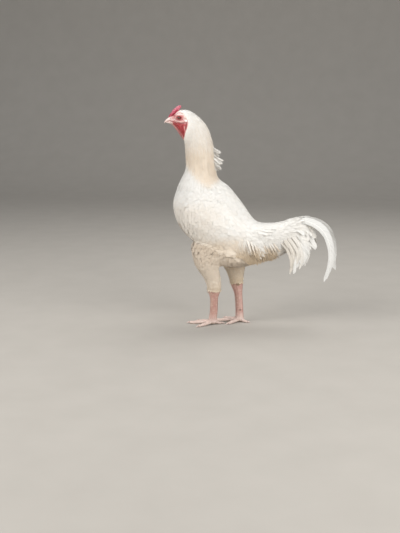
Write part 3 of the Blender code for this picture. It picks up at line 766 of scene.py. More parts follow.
def scattered(points, gap, rng):
    """Indices of points picked so that no two are closer than their gap."""
    tree = lookup(points)
    blocked = np.zeros(len(points), bool)
    picked = []
    for i in rng.permutation(len(points)):
        if not blocked[i]:
            picked.append(i)
            for _, j, _ in tree.find_range(points[i], gap[i]):
                blocked[j] = True
    return np.array(picked, int)


# ======== Skin parts

def nearest_rows(points, place, count):
    """The s and angle of the form place(s, angle) nearest to each point, and the distance."""
    grid = beside(np.linspace(0, count - 1, 12 * (count - 1) + 1)[:, None], np.arange(72) * math.tau / 72)
    s, theta = grid.reshape(-1, 2).T
    tree = lookup(place(s, theta))
    found = np.array([tree.find(p)[1:] for p in points])
    index = found[:, 0].astype(int)
    return s[index], theta[index], found[:, 1]


def coat_depth(p, sizes):
    """How deep the skin of trunk and thighs lies under the outline of the plumage."""
    s, _, _ = nearest_rows(p, body_points, len(BODY))
    deep = np.interp(s, [3.6, 5, 7, 9, 11, 12.3, 13.2, 14, 15, 16],
        [0.7, 0.85, 0.9, 1.0, 1.2, 1.35, 1.2, 0.9, 0.55, 0.25]) * sizes.body_coat / MM
    wing = ramp(-2, 10, wing_inside(p)) * ramp(20, 34, np.abs(p[:, 1]))
    deep = deep * (1 - wing) + wing * sizes.wing_coat / MM
    for side, rows in THIGHS.items():
        on_leg = p[:, 1] * side > 0
        hock = rows[-1][0]
        leg = np.interp(p[:, 2], [hock - 2, hock + 8, hock + 30, hock + 90], [1.6, 2.6, 3.6, 5.0])
        deep = np.where(on_leg & (p[:, 2] < 215), leg + (deep - leg) * ramp(185, 215, p[:, 2]), deep)
    deep = np.where(p[:, 2] > 430, np.minimum(deep, neck_depth(p)), deep)
    return deep + 4.0 * ramp(4, -8, down_neck(p)) * (p[:, 2] > 480)


def trunk_skin(sizes):
    """Neck, trunk, wings and thighs as one skin, sunk under the coat."""
    parts = [tube(lambda s, a: body_points(3.4 + (len(BODY) - 4.4) * s, a), 72, 110)]
    for side, rows in THIGHS.items():
        # Under the wing the thighs keep further in, so that the wing's lower edge lies over them.
        rows = [(*row[:4], row[4] - 13 * ramp(190, 245, row[0])) for row in rows]
        parts.append(leg_form(rows, side, 36, 24))
    parts.append(ball((FLANK[0], FLANK[1] + 7, FLANK[2] - 3), FLANK_SIZE))
    for label in LABELS.values():
        wing = bmesh.new()
        wing.from_mesh(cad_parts["wing_" + label].data)
        bmesh.ops.remove_doubles(wing, verts=wing.verts, dist=1e-5)
        p, _ = places(wing)
        low = ramp(36, 8, near_line(p[:, [0, 2]], [row[:2] for row in WING[2:]])) * ramp(340, 300, p[:, 2])
        p[:, 1] += np.sign(p[:, 1]) * 6.0 * low
        move(wing, p)
        parts.append(wing)
    bm = remeshed(joined(parts), 3.6, smooth=4)
    p, n = places(bm)
    move(bm, p - n * coat_depth(p, sizes)[:, None])
    # The wing's front and upper border and the back of the thigh run softly into the body.
    x, y, z, within = *p.T, wing_inside(p)
    border = (np.abs(within) < 13) & soft_border(p) & (np.abs(y) > 20)
    hollow = (np.abs(x - 5) < 75) & (np.abs(z - 218) < 42) & (y < -12) & (within < -1)
    chosen = np.flatnonzero(border | hollow)
    bm.verts.ensure_lookup_table()
    smoothed(bm, bm.verts)
    smoothed(bm, [bm.verts[i] for i in chosen], times=16)
    return bm


def dewlap_points(s, angle):
    rows = [(-170.5, 596.0, 0.05, 0.05), (-168, 594.5, 3.0, 1.6), (-160, 588.5, 6.0, 3.0),
        (-152, 580.0, 8.0, 4.4), (-145, 570.5, 8.0, 4.8), (-138, 560.0, 6.5, 4.4), (-132.5, 551.0, 3.4, 3.0),
        (-130.0, 546.0, 0.05, 0.05)]
    x, z, deep, half = along_rows(rows, s)
    at_row = s * (len(rows) - 1)
    along = unit(curve_rows(rows, at_row + 0.05)[:, :2] - curve_rows(rows, at_row - 0.05)[:, :2])
    reach = deep * (0.7 + np.cos(angle))
    return beside(x - along[:, 1] * reach, half * np.sin(angle), z + along[:, 0] * reach)


BROW = [(-151.5, 617), (-147, 621.3), (-140, 622.6), (-133.5, 620.2), (-129, 616)]
CHEEK = [(-156, 607), (-150, 603.5), (-143, 601), (-134, 600.4), (-127.5, 602)]
GAPE = [(-170, 602.4), (-163, 601.8), (-156, 599), (-150.5, 595.4)]
# Ridges and grooves of the head: height, radius and line in the side view.
FACE_LINES = [
    (1.5, 2.4, BROW), (-0.7, 1.5, [(-152, 621.5), (-147, 625.5), (-139, 626.5), (-132, 623.5)]),
    (1.1, 2.2, CHEEK), (-0.8, 1.3, [(-153.5, 610), (-149, 606.3), (-143, 604.9), (-136, 605.2), (-131, 608)]),
    (-0.5, 1.2, [(-157, 613), (-154, 607.5), (-148, 604), (-141, 603)]), (-1.3, 1.0, GAPE),
    (0.7, 1.3, [(-166, 599.6), (-158, 597), (-152, 593.3), (-148, 592.5)]),
    (0.6, 1.3, [(-166, 604.6), (-158, 602.2), (-152, 599.2), (-147.5, 596.2)]),
    (-0.9, 1.6, [(-146, 597), (-138, 595.5), (-130, 596.5), (-124, 597.5)]),
    (-1.0, 1.7, [(-118.5, 598), (-120.5, 588), (-121.5, 578)]),
    (-0.8, 1.5, [(-155, 590), (-147, 580), (-140, 568), (-134, 556)]),
    (-0.6, 1.3, [(-146, 590), (-139, 580), (-134, 569), (-130, 558)]),
    (0.5, 1.6, [(-150.5, 590), (-143, 580), (-137, 569), (-132, 557)]),
    (0.5, 1.6, [(-141, 590), (-135.5, 580), (-131.5, 569)]),
    (-0.7, 1.3, [(-134, 592), (-131.5, 583), (-129.5, 573), (-128, 562)]),
    (0.9, 2.6, [(-166, 611), (-160, 613), (-154.5, 613.5)]),
    (-0.9, 1.5, [(-163, 619.5), (-158, 618.5), (-154.5, 617)]),
]
LID = (5.7, 3.9)           # half width and half height of the open eye
LID_RADIUS = 7.45


def eye_places(p):
    """Places across the nearer eye: along the lids, upward, and from the centre as a share of the opening."""
    tilt = math.radians(-8.0)
    x, z = p[:, 0] - EYE[0], p[:, 2] - EYE[2]
    u = x * math.cos(tilt) + z * math.sin(tilt)
    w = -x * math.sin(tilt) + z * math.cos(tilt)
    return u, w, np.hypot(u / LID[0], w / LID[1])


def head_skin():
    """Head, throat fold, wattle folds and eyelids as one fine skin, bare in front and sunk behind."""
    parts = [tube(lambda s, a: body_points(4.6 * s, a), 92, 84), tube(dewlap_points, 32, 48)]
    for side in LABELS:
        parts += [ball(np.array(EYE) * (1, side, 1), (7.4, 7.4, 7.4)),
            ball((-127.5, side * 17.0, 583.0), (4.2, 3.0, 12.0), turn=math.radians(8)),
            ball((-140.0, side * 13.2, 602.5), (10.0, 4.2, 4.5), turn=math.radians(8)),
            ball((-139.5, side * 12.0, 619.5), (9.0, 4.6, 3.4), turn=math.radians(4))]
    bm = remeshed(joined(parts), 0.88, smooth=2)
    p, n = places(bm)
    behind = behind_face(p)
    bare = ramp(1.6, -0.6, behind) * ramp(500, 520, p[:, 2])
    p, painted_crease_shade = strokes(p, n, FACE_LINES)
    wrinkle = 0.22 * rough(p, 3.4) + 0.13 * rough(p, 1.7, 40.0)
    p += n * (wrinkle * bare)[:, None]
    # The lids: a shell round the eyeball, open in front, with fine creases round the opening.
    u, w, share = eye_places(p)
    side = np.sign(p[:, 1])
    away = np.hypot(p[:, 0] - EYE[0], p[:, 2] - EYE[2])
    near = (np.abs(p[:, 1]) > EYE[1] + 1) & (away < 9.5)
    lid = EYE[1] + np.sqrt(np.maximum(LID_RADIUS ** 2 - away ** 2, 0.01))
    folds = 0.16 * np.cos(math.tau * (share - 1.0) * 3.2) * ramp(2.0, 1.1, share)
    rim = 0.35 * np.exp(-((share - 1.07) / 0.07) ** 2)
    outer = np.maximum(np.abs(p[:, 1]), np.where(share < 1.7, lid, 0)) + (folds + rim) * (share < 2.0)
    sunk = EYE[1] + np.sqrt(np.maximum(EYE_RADIUS ** 2 - away ** 2, 0.01)) - 1.6
    open_eye = ramp(1.03, 0.93, share)
    y = outer * (1 - open_eye) + sunk * open_eye
    p[:, 1] = np.where(near, side * y, p[:, 1])
    p -= n * (neck_depth(p) + 4.5 * ramp(HANDOVER[1], HANDOVER[1] + 12, down_neck(p)))[:, None]
    move(bm, p)
    smoothed(bm, bm.verts, 0.3)
    # Colour fields.
    p, n = places(bm)
    flat = p[:, [0, 2]]
    throat = ramp(600, 593, p[:, 2] + 0.12 * (p[:, 0] + 140))
    round_eye = np.exp(-((share - 1.2) / 0.4) ** 2) * near
    # socket darkens round the eye opening: the lids' own dark red-brown skin, with painted shade in the
    # socket.
    socket = 0.85 * np.exp(-(np.hypot(u / 8.6, w / 4.6) / 0.95) ** 4)
    flush = np.clip(np.maximum(throat, 0.9 * round_eye) + 0.25 * rough(p, 6.0, 9.0), 0, 1)
    forehead = ramp(617, 621.5, p[:, 2]) * ramp(-156, -150, p[:, 0])
    temple = ramp(-131, -125, p[:, 0]) * ramp(604, 609, p[:, 2])
    cheek = glow(flat, CHEEK, 2.2)
    lore = glow(flat, [(-168, 606), (-160, 606.5), (-153.5, 611)], 2.4)
    fold = glow(flat, [(-125, 588), (-125, 577)], 1.3)
    edge = ramp(4.5, 0.5, -behind_face(p)) * ramp(560, 570, p[:, 2])
    front = glow(flat, [(-163, 592), (-150, 580), (-139, 566), (-130, 552)], 2.5)
    bill = ramp(-158, -170, p[:, 0])
    pale = np.clip(0.92 * np.maximum(forehead, temple) + 0.6 * cheek + 0.45 * lore + 0.5 * fold + 0.5 * bill
        + 0.35 * edge + 0.28 * front, 0, 1)
    smudge = 0.6 * glow(flat, [(-125.5, 611), (-119.5, 608), (-114.5, 603)], 2.2)
    slot = glow(flat, GAPE, 0.9)
    # Painted shade in the face's grooves and along the gape.
    painted_crease_shade = np.clip(np.maximum(painted_crease_shade * 0.7, slot) * (np.abs(p[:, 1]) > 3), 0, 1)
    return bm, {"bare": bare, "flush": flush, "pale": pale * (1 - round_eye * 0.7), "painted_crease_shade": painted_crease_shade,
        "smudge": np.maximum(smudge, 0.35 * front * throat), "socket": socket * near}


def toe_frame(side, name):
    heading, length, radius = TOES[side][name]
    turn = math.radians(heading)
    ahead = np.array([-math.cos(turn), -math.sin(turn), 0.0])
    start = np.array([*BALLS[side], 0.0]) + ahead * 3.0
    return start, ahead, np.array([-ahead[1], ahead[0], 0.0]), length, radius


def toe_centre(side, name, s):
    """The middle line of a toe and its half thickness."""
    start, ahead, _, length, radius = toe_frame(side, name)
    joints = 2 if name == "hind" else 3
    thick = radius * (1 - 0.33 * s) * (1 + 0.09 * np.cos(math.tau * joints * s))
    centre = start + np.outer(length * s, ahead)
    centre[:, 2] = 4.0 * np.clip(1 - s, 0, 1) ** 1.6 + thick * 0.86
    return centre, thick


def toe_points(side, name, s, angle):
    _, _, across, _, _ = toe_frame(side, name)
    s = s * 1.03
    centre, thick = toe_centre(side, name, s)
    thick = thick * np.sqrt(np.clip(1 - (np.clip(s - 0.93, 0, 0.1) / 0.1) ** 2, 0, 1))
    return (centre + np.outer(thick * np.sin(angle), across)
        + np.outer(thick * 0.95 * np.cos(angle), (0, 0, 1)))


def leg_skin():
    """Shanks, feet and toes as one skin, flat on the floor."""
    parts = []
    for side in LABELS:
        x, y = BALLS[side]
        parts += [leg_form(SHANKS[side], side, 40, 60), ball((x + 1, y, 10.0), (13.5, 11.5, 8.5))]
        parts += [tube(partial(toe_points, side, name), 24, 40) for name in TOES[side]]
    bm = remeshed(joined(parts), 1.5, smooth=2)
    p, n = places(bm)
    pads = 0.5 * ramp(-0.2, -0.8, n[:, 2]) * np.cos(p[:, 0] / 2.2) * np.cos(p[:, 1] / 2.2)
    p += n * pads[:, None]
    p[:, 2] = np.maximum(p[:, 2], FLOOR + 0.05)
    move(bm, p)
    groove = 0.35 * ramp(0.0, 0.5, rough(p, 2.4, 3.0))
    return bm, {"groove": groove, "tone": 0.3 * ramp(-0.3, 0.6, rough(p, 7.0))}


SKIN_FIELDS = ("bare", "flush", "pale", "painted_crease_shade", "smudge", "socket", "groove", "tone")
FLESH = ("head", "neck_upper", "neck_lower", "trunk", "saddle", "tail_root", "flank_left", "dewlap")
PAIRED_FLESH = ("wattle", "wing", "thigh", "shank", "foot", "toe_inner", "toe_middle", "toe_outer",
    "toe_hind")


def paired(stem):
    """A CAD node's two names: toe_inner gives toe_left_inner and toe_right_inner."""
    first, _, rest = stem.partition("_")
    return ["_".join(part for part in (first, label, rest) if part) for label in LABELS.values()]


@step
class ROOSTER_OT_skin(bpy.types.Operator):
    """One skin for head, trunk, wings and legs, sunk under the plumage and bare on the face and legs"""
    bl_idname = "rooster.skin"
    bl_label = "Skin"

    def execute(self, context):
        sizes = context.scene.rooster_sizes
        trunk = trunk_skin(sizes)
        head, head_fields = head_skin()
        legs, leg_fields = leg_skin()
        counts = [len(part.verts) for part in (trunk, head, legs)]
        trunk_faces, head_faces = len(trunk.faces), len(head.faces)
        bm = joined([trunk, head, legs])
        for key in SKIN_FIELDS:
            values = [np.zeros(counts[0]), head_fields.get(key, np.zeros(counts[1])),
                leg_fields.get(key, np.zeros(counts[2]))]
            floats(bm, key, np.concatenate(values))
        for face in list(bm.faces)[trunk_faces + head_faces:]:
            face.material_index = 1
        made = piece("skin", bm, "poultry_skin", "bare_skin", *FLESH,
            *(name for stem in PAIRED_FLESH for name in paired(stem)))
        made.data.materials.append(surface("leg_scales"))
        made["parts"] = [trunk_faces, head_faces]
        return {"FINISHED"}


# ======== Horn, comb, eyes

def bill_points(rows, s, angle, flat_side, square=1.0):
    """Half of the bill: rows of x, top, bottom and half width. flat_side is -1 for the upper half."""
    x, top, bottom, half = along_rows(rows, s)
    c, t = np.cos(angle), np.sin(angle)
    middle = bottom + (top - bottom) * (0.32 if flat_side < 0 else 0.68)
    high = np.where(c > 0, top - middle, middle - bottom)
    return beside(x, half * np.sign(t) * np.abs(t) ** square, middle + high * c)


@step
class ROOSTER_OT_bill(bpy.types.Operator):
    """Upper and lower half of the bill"""
    bl_idname = "rooster.bill"
    bl_label = "Bill"

    def execute(self, context):
        upper_rows = [(-157, 617.6, 604.0, 8.6), (-164, 617.2, 603.4, 8.9), (-170, 615.8, 602.8, 8.2),
            (-176, 612.6, 601.8, 7.0), (-181, 608.8, 600.4, 5.5), (-185, 605.0, 598.8, 3.9),
            (-187.6, 601.6, 597.0, 2.4), (-188.6, 598.8, 596.2, 1.1), (-188.8, 597.2, 597.2, 0.02)]
        bm = tube(lambda s, a: bill_points(upper_rows, s, a, -1, 0.9), 64, 90)
        p, n = places(bm)
        # The nostril, the fold over it and the groove along the edge.
        p, nostril_and_groove_shade = strokes(p, n, [(-1.5, 0.85, [(-169.5, 610.8), (-165.5, 612.0)]),
            (0.55, 1.5, [(-171, 613.6), (-165, 614.6)]),
            (-0.35, 0.7, [(-188, 600.5), (-180, 603.6), (-170, 604.4), (-162, 604.8)])])
        p += n * (0.08 * rough(p, 1.6))[:, None]
        move(bm, p)
        base = ramp(-179, -166, p[:, 0])
        # The base of the bill is darker in its own colour; the nostril and the groove along the edge are
        # darkened as painted shade.
        floats(bm, "tone", np.clip(0.45 * base + 0.9 * nostril_and_groove_shade + 0.2 * rough(p, 3.0), 0, 1))
        piece("beak_upper_horn", bm, "bill_horn", "horn", "beak_upper")
        lower_rows = [(-157, 602.4, 593.0, 8.0), (-164, 602.2, 593.2, 7.9), (-170, 602.0, 594.2, 7.0),
            (-176, 601.6, 595.9, 5.4), (-181, 600.8, 597.4, 3.4), (-184.4, 600.2, 598.6, 1.4),
            (-185.4, 599.4, 599.4, 0.02)]
        bm = tube(lambda s, a: bill_points(lower_rows, s, a, 1, 0.95), 56, 60)
        p, _ = places(bm)
        floats(bm, "tone", np.clip(0.5 * ramp(-177, -164, p[:, 0]) + 0.2 * rough(p, 3.0), 0, 1))
        piece("beak_lower_horn", bm, "bill_horn", "horn", "beak_lower")
        return {"FINISHED"}


@step
class ROOSTER_OT_comb(bpy.types.Operator):
    """Low pea comb with three beaded ridges"""
    bl_idname = "rooster.comb"
    bl_label = "Comb"

    def execute(self, context):
        rows = [(-177.5, 609.5, 0.05, 0.05), (-175, 612, 2.3, 3.0), (-169, 618, 3.9, 4.6),
            (-162, 625, 5.4, 5.8), (-155, 631.5, 6.6, 6.0), (-148, 638, 6.0, 4.8), (-141.5, 643.5, 4.6, 3.2),
            (-137.8, 646.2, 0.05, 0.05)]

        def place(s, a):
            x, z, high, half = along_rows(rows, s)
            lobes = 1 + 0.12 * np.cos(3 * a)
            run = s * 7.0 + 0.35 * np.sin(s * 9.0) + 0.25 * np.sin(3 * a)
            beads = 1 + 0.075 * np.cos(math.tau * run) * (1 + 0.7 * np.cos(a))
            lean = (-0.68, 0.73)
            up = high * lobes * beads * np.cos(a)
            return beside(x + lean[0] * up, half * lobes * beads * np.sin(a), z + lean[1] * up)

        bm = remeshed(tube(place, 48, 90), 0.5)
        p, n = places(bm)
        p += n * (0.9 * rough(p, 4.2) + 0.3 * rough(p, 1.5, 7.0))[:, None]
        move(bm, p)
        # The comb's tone is painted light: a highlight over the top and back that fades to darker at the
        # front, less painted shade along its foot on the head.
        top = dot(p[:, [0, 2]] - np.array([-163, 625]), np.array([-0.72, 0.69]))
        low = glow(p[:, [0, 2]], [(-178, 610), (-168, 612), (-157, 622), (-150, 630)], 4.0)
        x = p[:, 0]
        painted_highlight = (0.15 + 0.65 * ramp(-3.0, 4.0, top)) * ramp(-174, -157, x) + 0.3 * ramp(-160, -142, x)
        floats(bm, "tone", np.clip(painted_highlight - 0.7 * low + 0.3 * rough(p, 3.0, 2.0), 0, 1))
        piece("pea_comb", bm, "comb_skin", "bare_skin", "comb")
        return {"FINISHED"}


@step
class ROOSTER_OT_ear_lobes(bpy.types.Operator):
    """Small white ear lobes with a pink edge"""
    bl_idname = "rooster.ear_lobes"
    bl_label = "Ear Lobes"

    def execute(self, context):
        for side, label in LABELS.items():
            bm = ball((-121.0, side * 18.6, 603.6), (5.2, 2.7, 3.7), turn=math.radians(14), segments=56,
                rings=36)
            p, n = places(bm)
            p += n * (0.35 * rough(p, 2.6, side) + 0.16 * rough(p, 1.2, side + 4))[:, None]
            edge = np.hypot((p[:, 0] + 121.0) / 5.4, (p[:, 2] - 603.6) / 3.9)
            p[:, 1] -= side * 0.7 * np.exp(-((edge - 0.5) / 0.16) ** 2) * (p[:, 1] * side > 18.6)
            move(bm, p)
            floats(bm, "tone", np.clip(ramp(1.02, 0.72, edge) + 0.1 * rough(p, 1.5), 0, 1))
            piece("ear_lobe_skin_" + label, bm, "lobe_skin", "ear_lobe", "ear_lobe_" + label)
        return {"FINISHED"}


@step
class ROOSTER_OT_eyes(bpy.types.Operator):
    """Eyeballs with a raised clear cornea, iris and pupil"""
    bl_idname = "rooster.eyes"
    bl_label = "Eyes"

    def execute(self, context):
        for side, label in LABELS.items():
            centre = np.array(EYE) * (1, side, 1)
            bm = ball(centre, [EYE_RADIUS - 0.1] * 3, math.radians(90), 64, 48, "X")
            p, n = places(bm)
            axis = unit((-0.12, side, 0.02))
            offset = p - centre
            height = offset @ axis
            reach = np.linalg.norm(offset - np.outer(height, axis), axis=1)
            reach = np.where(height > 0, reach, 99.0)
            p += n * (0.5 * ramp(4.8, 2.5, reach))[:, None]
            move(bm, p)
            floats(bm, "reach", np.minimum(reach, 9.0))
            piece("eyeball_" + label, bm, "wet_eye", "eye", "eye_" + label)
        return {"FINISHED"}


def claw_points(side, name, s, angle):
    start, ahead, across, length, radius = toe_frame(side, name)
    reach = length - 3.0 + CLAW_LENGTH * s
    drop = radius * 0.62 + 2.6 * s - 5.6 * s * s
    thick = 3.1 * np.clip(1 - s, 0, 1) ** 0.75 + 0.02
    keel = 1 + 0.12 * np.cos(angle)
    return (start + np.outer(reach, ahead) + np.outer(thick * 0.78 * np.sin(angle), across)
        + np.outer(np.maximum(drop + thick * np.cos(angle) * keel, FLOOR + 0.15), (0, 0, 1)))


@step
class ROOSTER_OT_claws(bpy.types.Operator):
    """Eight curved claws and two spurs"""
    bl_idname = "rooster.claws"
    bl_label = "Claws and Spurs"

    def execute(self, context):
        for side, label in LABELS.items():
            bm = joined(tube(partial(claw_points, side, name), 24, 30) for name in TOES[side])
            p, _ = places(bm)
            tip = np.full(len(p), 99.0)
            for name in TOES[side]:
                start, ahead, _, length, _ = toe_frame(side, name)
                tip = np.minimum(tip, np.linalg.norm(p - start - ahead * (length + CLAW_LENGTH - 3), axis=1))
            floats(bm, "tone", np.clip(0.25 + 0.5 * ramp(7, 15, tip) + 0.2 * rough(p, 2.5), 0, 1))
            piece("claws_" + label, bm, "claw_horn", "horn",
                *("claw_%s_%s" % (label, name) for name in TOES[side]))
            # The spur stands on the inner rear side of the shank.
            lo, hi = (np.array(corner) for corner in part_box("spur_" + label))
            middle = ((lo + hi) / 2 - SHIFT) / MM
            way = unit((0.45, -0.88 * side, 0.12))
            up = unit(np.cross(way, np.cross((0, 0, 1.0), way)))
            flank = np.cross(way, up)

            def spur(s, a, middle=middle, axes=np.array([way, up, flank])):
                thick = 3.6 * np.clip(1 - s, 0, 1) ** 0.6
                high = 1.6 * s * s + thick * np.cos(a)
                return middle + beside(13.0 * (s - 0.55), high, thick * np.sin(a)) @ axes

            bm = tube(spur, 24, 24)
            p, _ = places(bm)
            floats(bm, "tone", np.clip(0.75 + 0.25 * rough(p, 2.0), 0, 1))
            piece("spur_horn_" + label, bm, "claw_horn", "spur_horn", "spur_" + label)
        return {"FINISHED"}


@step
class ROOSTER_OT_leg_scales(bpy.types.Operator):
    """Overlapping plates on the shanks and toes"""
    bl_idname = "rooster.leg_scales"
    bl_label = "Leg Scales"

    def execute(self, context):
        ground = skin_ground()
        rng = np.random.default_rng(31)
        coat = Coat()
        # Columns of plates round the shank: angle from the front, half width, length, spacing, curve.
        columns = [(turn * way, *rest) for turn, *rest in ((0.42, 5.2, 7.6, 5.6, 0.3),
            (1.2, 2.9, 4.6, 3.5, 0.16), (1.75, 2.7, 4.4, 3.4, 0.15), (2.4, 3.2, 4.8, 3.8, 0.18))
            for way in (1, -1)] + [(3.1, 3.0, 4.6, 3.6, 0.16)]
        for side in LABELS:
            rows = SHANKS[side]
            for index, (turn, half, length, step, camber) in enumerate(columns):
                z = np.arange(rows[1][0] - 2 - (index % 2) * step / 2, 12.0, -step)
                s = np.interp(-z, [-row[0] for row in rows], np.arange(len(rows)))
                theta = np.full(len(z), math.pi - turn) + rng.normal(0, 0.03, len(z))
                roots, out = snap(ground.tree, leg_points(rows, side, s, theta))
                down = np.tile((0.0, 0.0, -1.0), (len(z), 1))
                centre, facing = lay(ground.tree, roots, out, down, length * rng.uniform(0.92, 1.06, len(z)),
                    0.75, rise=1.2)
                coat.add(centre, facing, blades(np.full(len(z), half), "plate", rng, 0.03), ROWS,
                    beside(theta / math.tau, z / 200 + 0.1), thick=0.75, camber=camber, columns=5,
                    tone=rng.uniform(0, 0.7, len(z)))
            for name in TOES[side]:
                _, ahead, _, length, _ = toe_frame(side, name)
                reach = np.arange(2.0 if name != "hind" else 5.0, length - 1.5, 3.0)
                centre_line, thick = toe_centre(side, name, reach / length)
                roots, out = snap(ground.tree, centre_line + np.outer(thick, (0, 0, 1.0)))
                heading = np.tile(ahead, (len(reach), 1))
                centre, facing = lay(ground.tree, roots, out, heading, 4.3, 0.6, rise=1.2)
                coat.add(centre, facing, blades(thick * 0.86, "plate", rng, 0.03), ROWS,
                    beside(0.5 + 0.1 * side, reach / 200), thick=0.7, camber=0.42, columns=5,
                    tone=rng.uniform(0, 0.25, len(reach)))
        for made in coat.make("leg_plates", "leg_scales", "shank_skin"):
            made.data.attributes.new("groove", "FLOAT", "POINT")
        return {"FINISHED"}


# ======== Where feathers grow

class Ground:
    """The skin as a search tree, with possible feather roots spread over it: their places, normals, and the
    nearest s and angle on the body."""

    def __init__(self):
        mesh = bpy.data.objects["skin"].data
        trunk_faces, head_faces = bpy.data.objects["skin"]["parts"]
        co = np.empty(len(mesh.vertices) * 3)
        mesh.vertices.foreach_get("co", co)
        co = (co.reshape(-1, 3) - SHIFT) / MM
        faces = [tuple(face.vertices) for face in mesh.polygons]
        quads = np.array([f if len(f) == 4 else (*f, f[-1]) for f in faces])
        middle = co[quads].mean(axis=1)
        below, number = down_neck(middle), np.arange(len(faces))
        # Where two skins overlap on the neck, the buried ends don't count.
        buried = (number < trunk_faces) & (below < HANDOVER[0]) & (middle[:, 2] > 480)
        buried |= (number >= trunk_faces) & (below > HANDOVER[1]) & (middle[:, 2] > 480)
        self.tree = BVHTree.FromPolygons([tuple(p) for p in co], [faces[i] for i in np.flatnonzero(~buried)])
        rng = np.random.default_rng(5)
        roots = []
        for start, stop, times in ((0, trunk_faces, 3), (trunk_faces, trunk_faces + head_faces, 2)):
            corner = co[quads[start:stop][~buried[start:stop]]]
            for _ in range(times):
                a, b = rng.uniform(0, 1, (2, len(corner), 1))
                shares = ((1 - a) * (1 - b), a * (1 - b), a * b, (1 - a) * b)
                roots.append(sum(share * corner[:, k] for k, share in enumerate(shares)))
        # Roots that another part of the skin covers are left out.
        roots, normals = snap(self.tree, np.concatenate(roots))
        clear = [self.tree.ray_cast(p + 0.3 * n, n, 25.0)[0] is None for p, n in zip(roots, normals)]
        self.roots, self.normals = roots, normals = roots[clear], normals[clear]
        self.s, self.theta, off_body = nearest_rows(roots, body_points, len(BODY))
        self.behind = behind_face(roots)
        self.wing = np.where(np.abs(roots[:, 1]) > 20, wing_inside(roots), -50.0)
        self.soft = soft_border(roots)
        self.flow = unit(body_points(self.s + 0.1, self.theta) - body_points(self.s - 0.1, self.theta))
        self.turn = np.minimum(self.theta, math.tau - self.theta)      # 0 on the back, pi in front
        # leg is 0 on the body and 1 on a thigh, and the feathers turn from one lie to the other between.
        self.leg, self.hock = np.zeros(len(roots)), np.full(len(roots), -99.0)
        for side, rows in THIGHS.items():
            near = (roots[:, 1] * side > 0) & (roots[:, 2] < 262)
            p = roots[near]
            s, _, off_leg = nearest_rows(p, partial(leg_points, rows, side), len(rows))
            leg = ramp(12, -4, off_leg - off_body[near]) * ramp(250, 205, p[:, 2])
            z, front, rear, _, away = (curve_rows(rows, s + 0.2) - curve_rows(rows, s - 0.2)).T
            down = unit(unit(beside((front + rear) / 2, side * away, z)) + (0.14, 0, 0))
            self.flow[near] = unit(self.flow[near] * (1 - leg)[:, None] + down * leg[:, None])
            self.leg[near] = leg
            self.hock[near] = rows[-1][0]

    def pick(self, mask, gap, seed):
        """Roots that are no closer than gap: their numbers, their random draws, places, normals, s, the way
        that feathers lie there, and their patches on the unwrap."""
        index, rng = np.flatnonzero(mask), np.random.default_rng(seed)
        index = index[scattered(self.roots[index], np.broadcast_to(gap, self.s.shape)[index], rng)]
        patch = beside(self.theta[index] / math.tau, self.s[index] / len(BODY))
        return index, rng, self.roots[index], self.normals[index], self.s[index], self.flow[index], patch


@cache
def skin_ground():
    return Ground()


def swayed(heading, normals, rng, amount):
    """Headings turned a little to one side or the other, by about amount radians."""
    return unit(heading + np.cross(normals, heading) * rng.normal(0, amount, (len(heading), 1)))


@step
class ROOSTER_OT_hackle(bpy.types.Operator):
    """Short head feathers and the long narrow hackle that falls over the shoulders as a cape"""
    bl_idname = "rooster.hackle"
    bl_label = "Hackle"

    def execute(self, context):
        ground = skin_ground()
        length = np.interp(ground.s, [1.5, 2.5, 3.2, 4, 4.6, 5.2, 5.8, 6.5, 7],
            [4.5, 6.5, 12, 24, 36, 46, 54, 56, 52])
        length = np.minimum(length, 3.0 + 0.6 * np.maximum(ground.behind, 0))
        comb = near_line(ground.roots, [(-172, 0, 614), (-160, 0, 626), (-149, 0, 637)])
        mask = (ground.s < 7.0) & (ground.s > 1.3) & (ground.behind > 0.2) & (comb > 6.5)
        mask &= (ground.roots[:, 2] > 425)
        pick, rng, roots, normals, s, flow, patch = ground.pick(mask, 1.35 + 0.058 * length, 41)
        n = len(pick)
        long = length[pick] * rng.uniform(0.85, 1.12, n)
        heading = swayed(flow, normals, rng, 0.05)
        tips = roots + heading * long[:, None]
        cape = ramp(5.4, 6.6, s)
        deep = np.maximum(neck_depth(tips) * (1 - cape) + 5.6 * cape, 0.45) + rng.uniform(-0.15, 0.3, n)
        centre, facing = lay(ground.tree, roots, normals, heading, long, deep, rise=1.4)
        shape = blades(0.95 + 0.05 * long, "lance", rng)
        warm = np.interp(s, [2.8, 4.2, 5.0, 7], [0.0, 0.45, 0.95, 1.0])
        cream = (warm + rng.uniform(-0.12, 0.1, n))[:, None] * neck_cream(centre) + 0.04
        tags = {"tone": rng.uniform(0, 0.12, n), "cream": np.clip(cream, 0, 1), "straw": 0.02, "span": long}
        coat = Coat()
        coat.add(centre, facing, shape, ROWS, patch, thick=0.1 + 0.002 * long, camber=0.2, **tags)
        big = np.flatnonzero(long > 7)
        fringe(coat, rng, centre[big], facing[big], shape[big], ROWS, patch[big], 5,
            overhang=np.clip(0.045 * long[big] - 0.15, 0.15, 1.1)[:, None], start=0.4, wide=0.26, fan=1.1,
            **{key: value[big] if np.ndim(value) else value for key, value in tags.items()})
        coat.make("hackle_feathers")
        return {"FINISHED"}


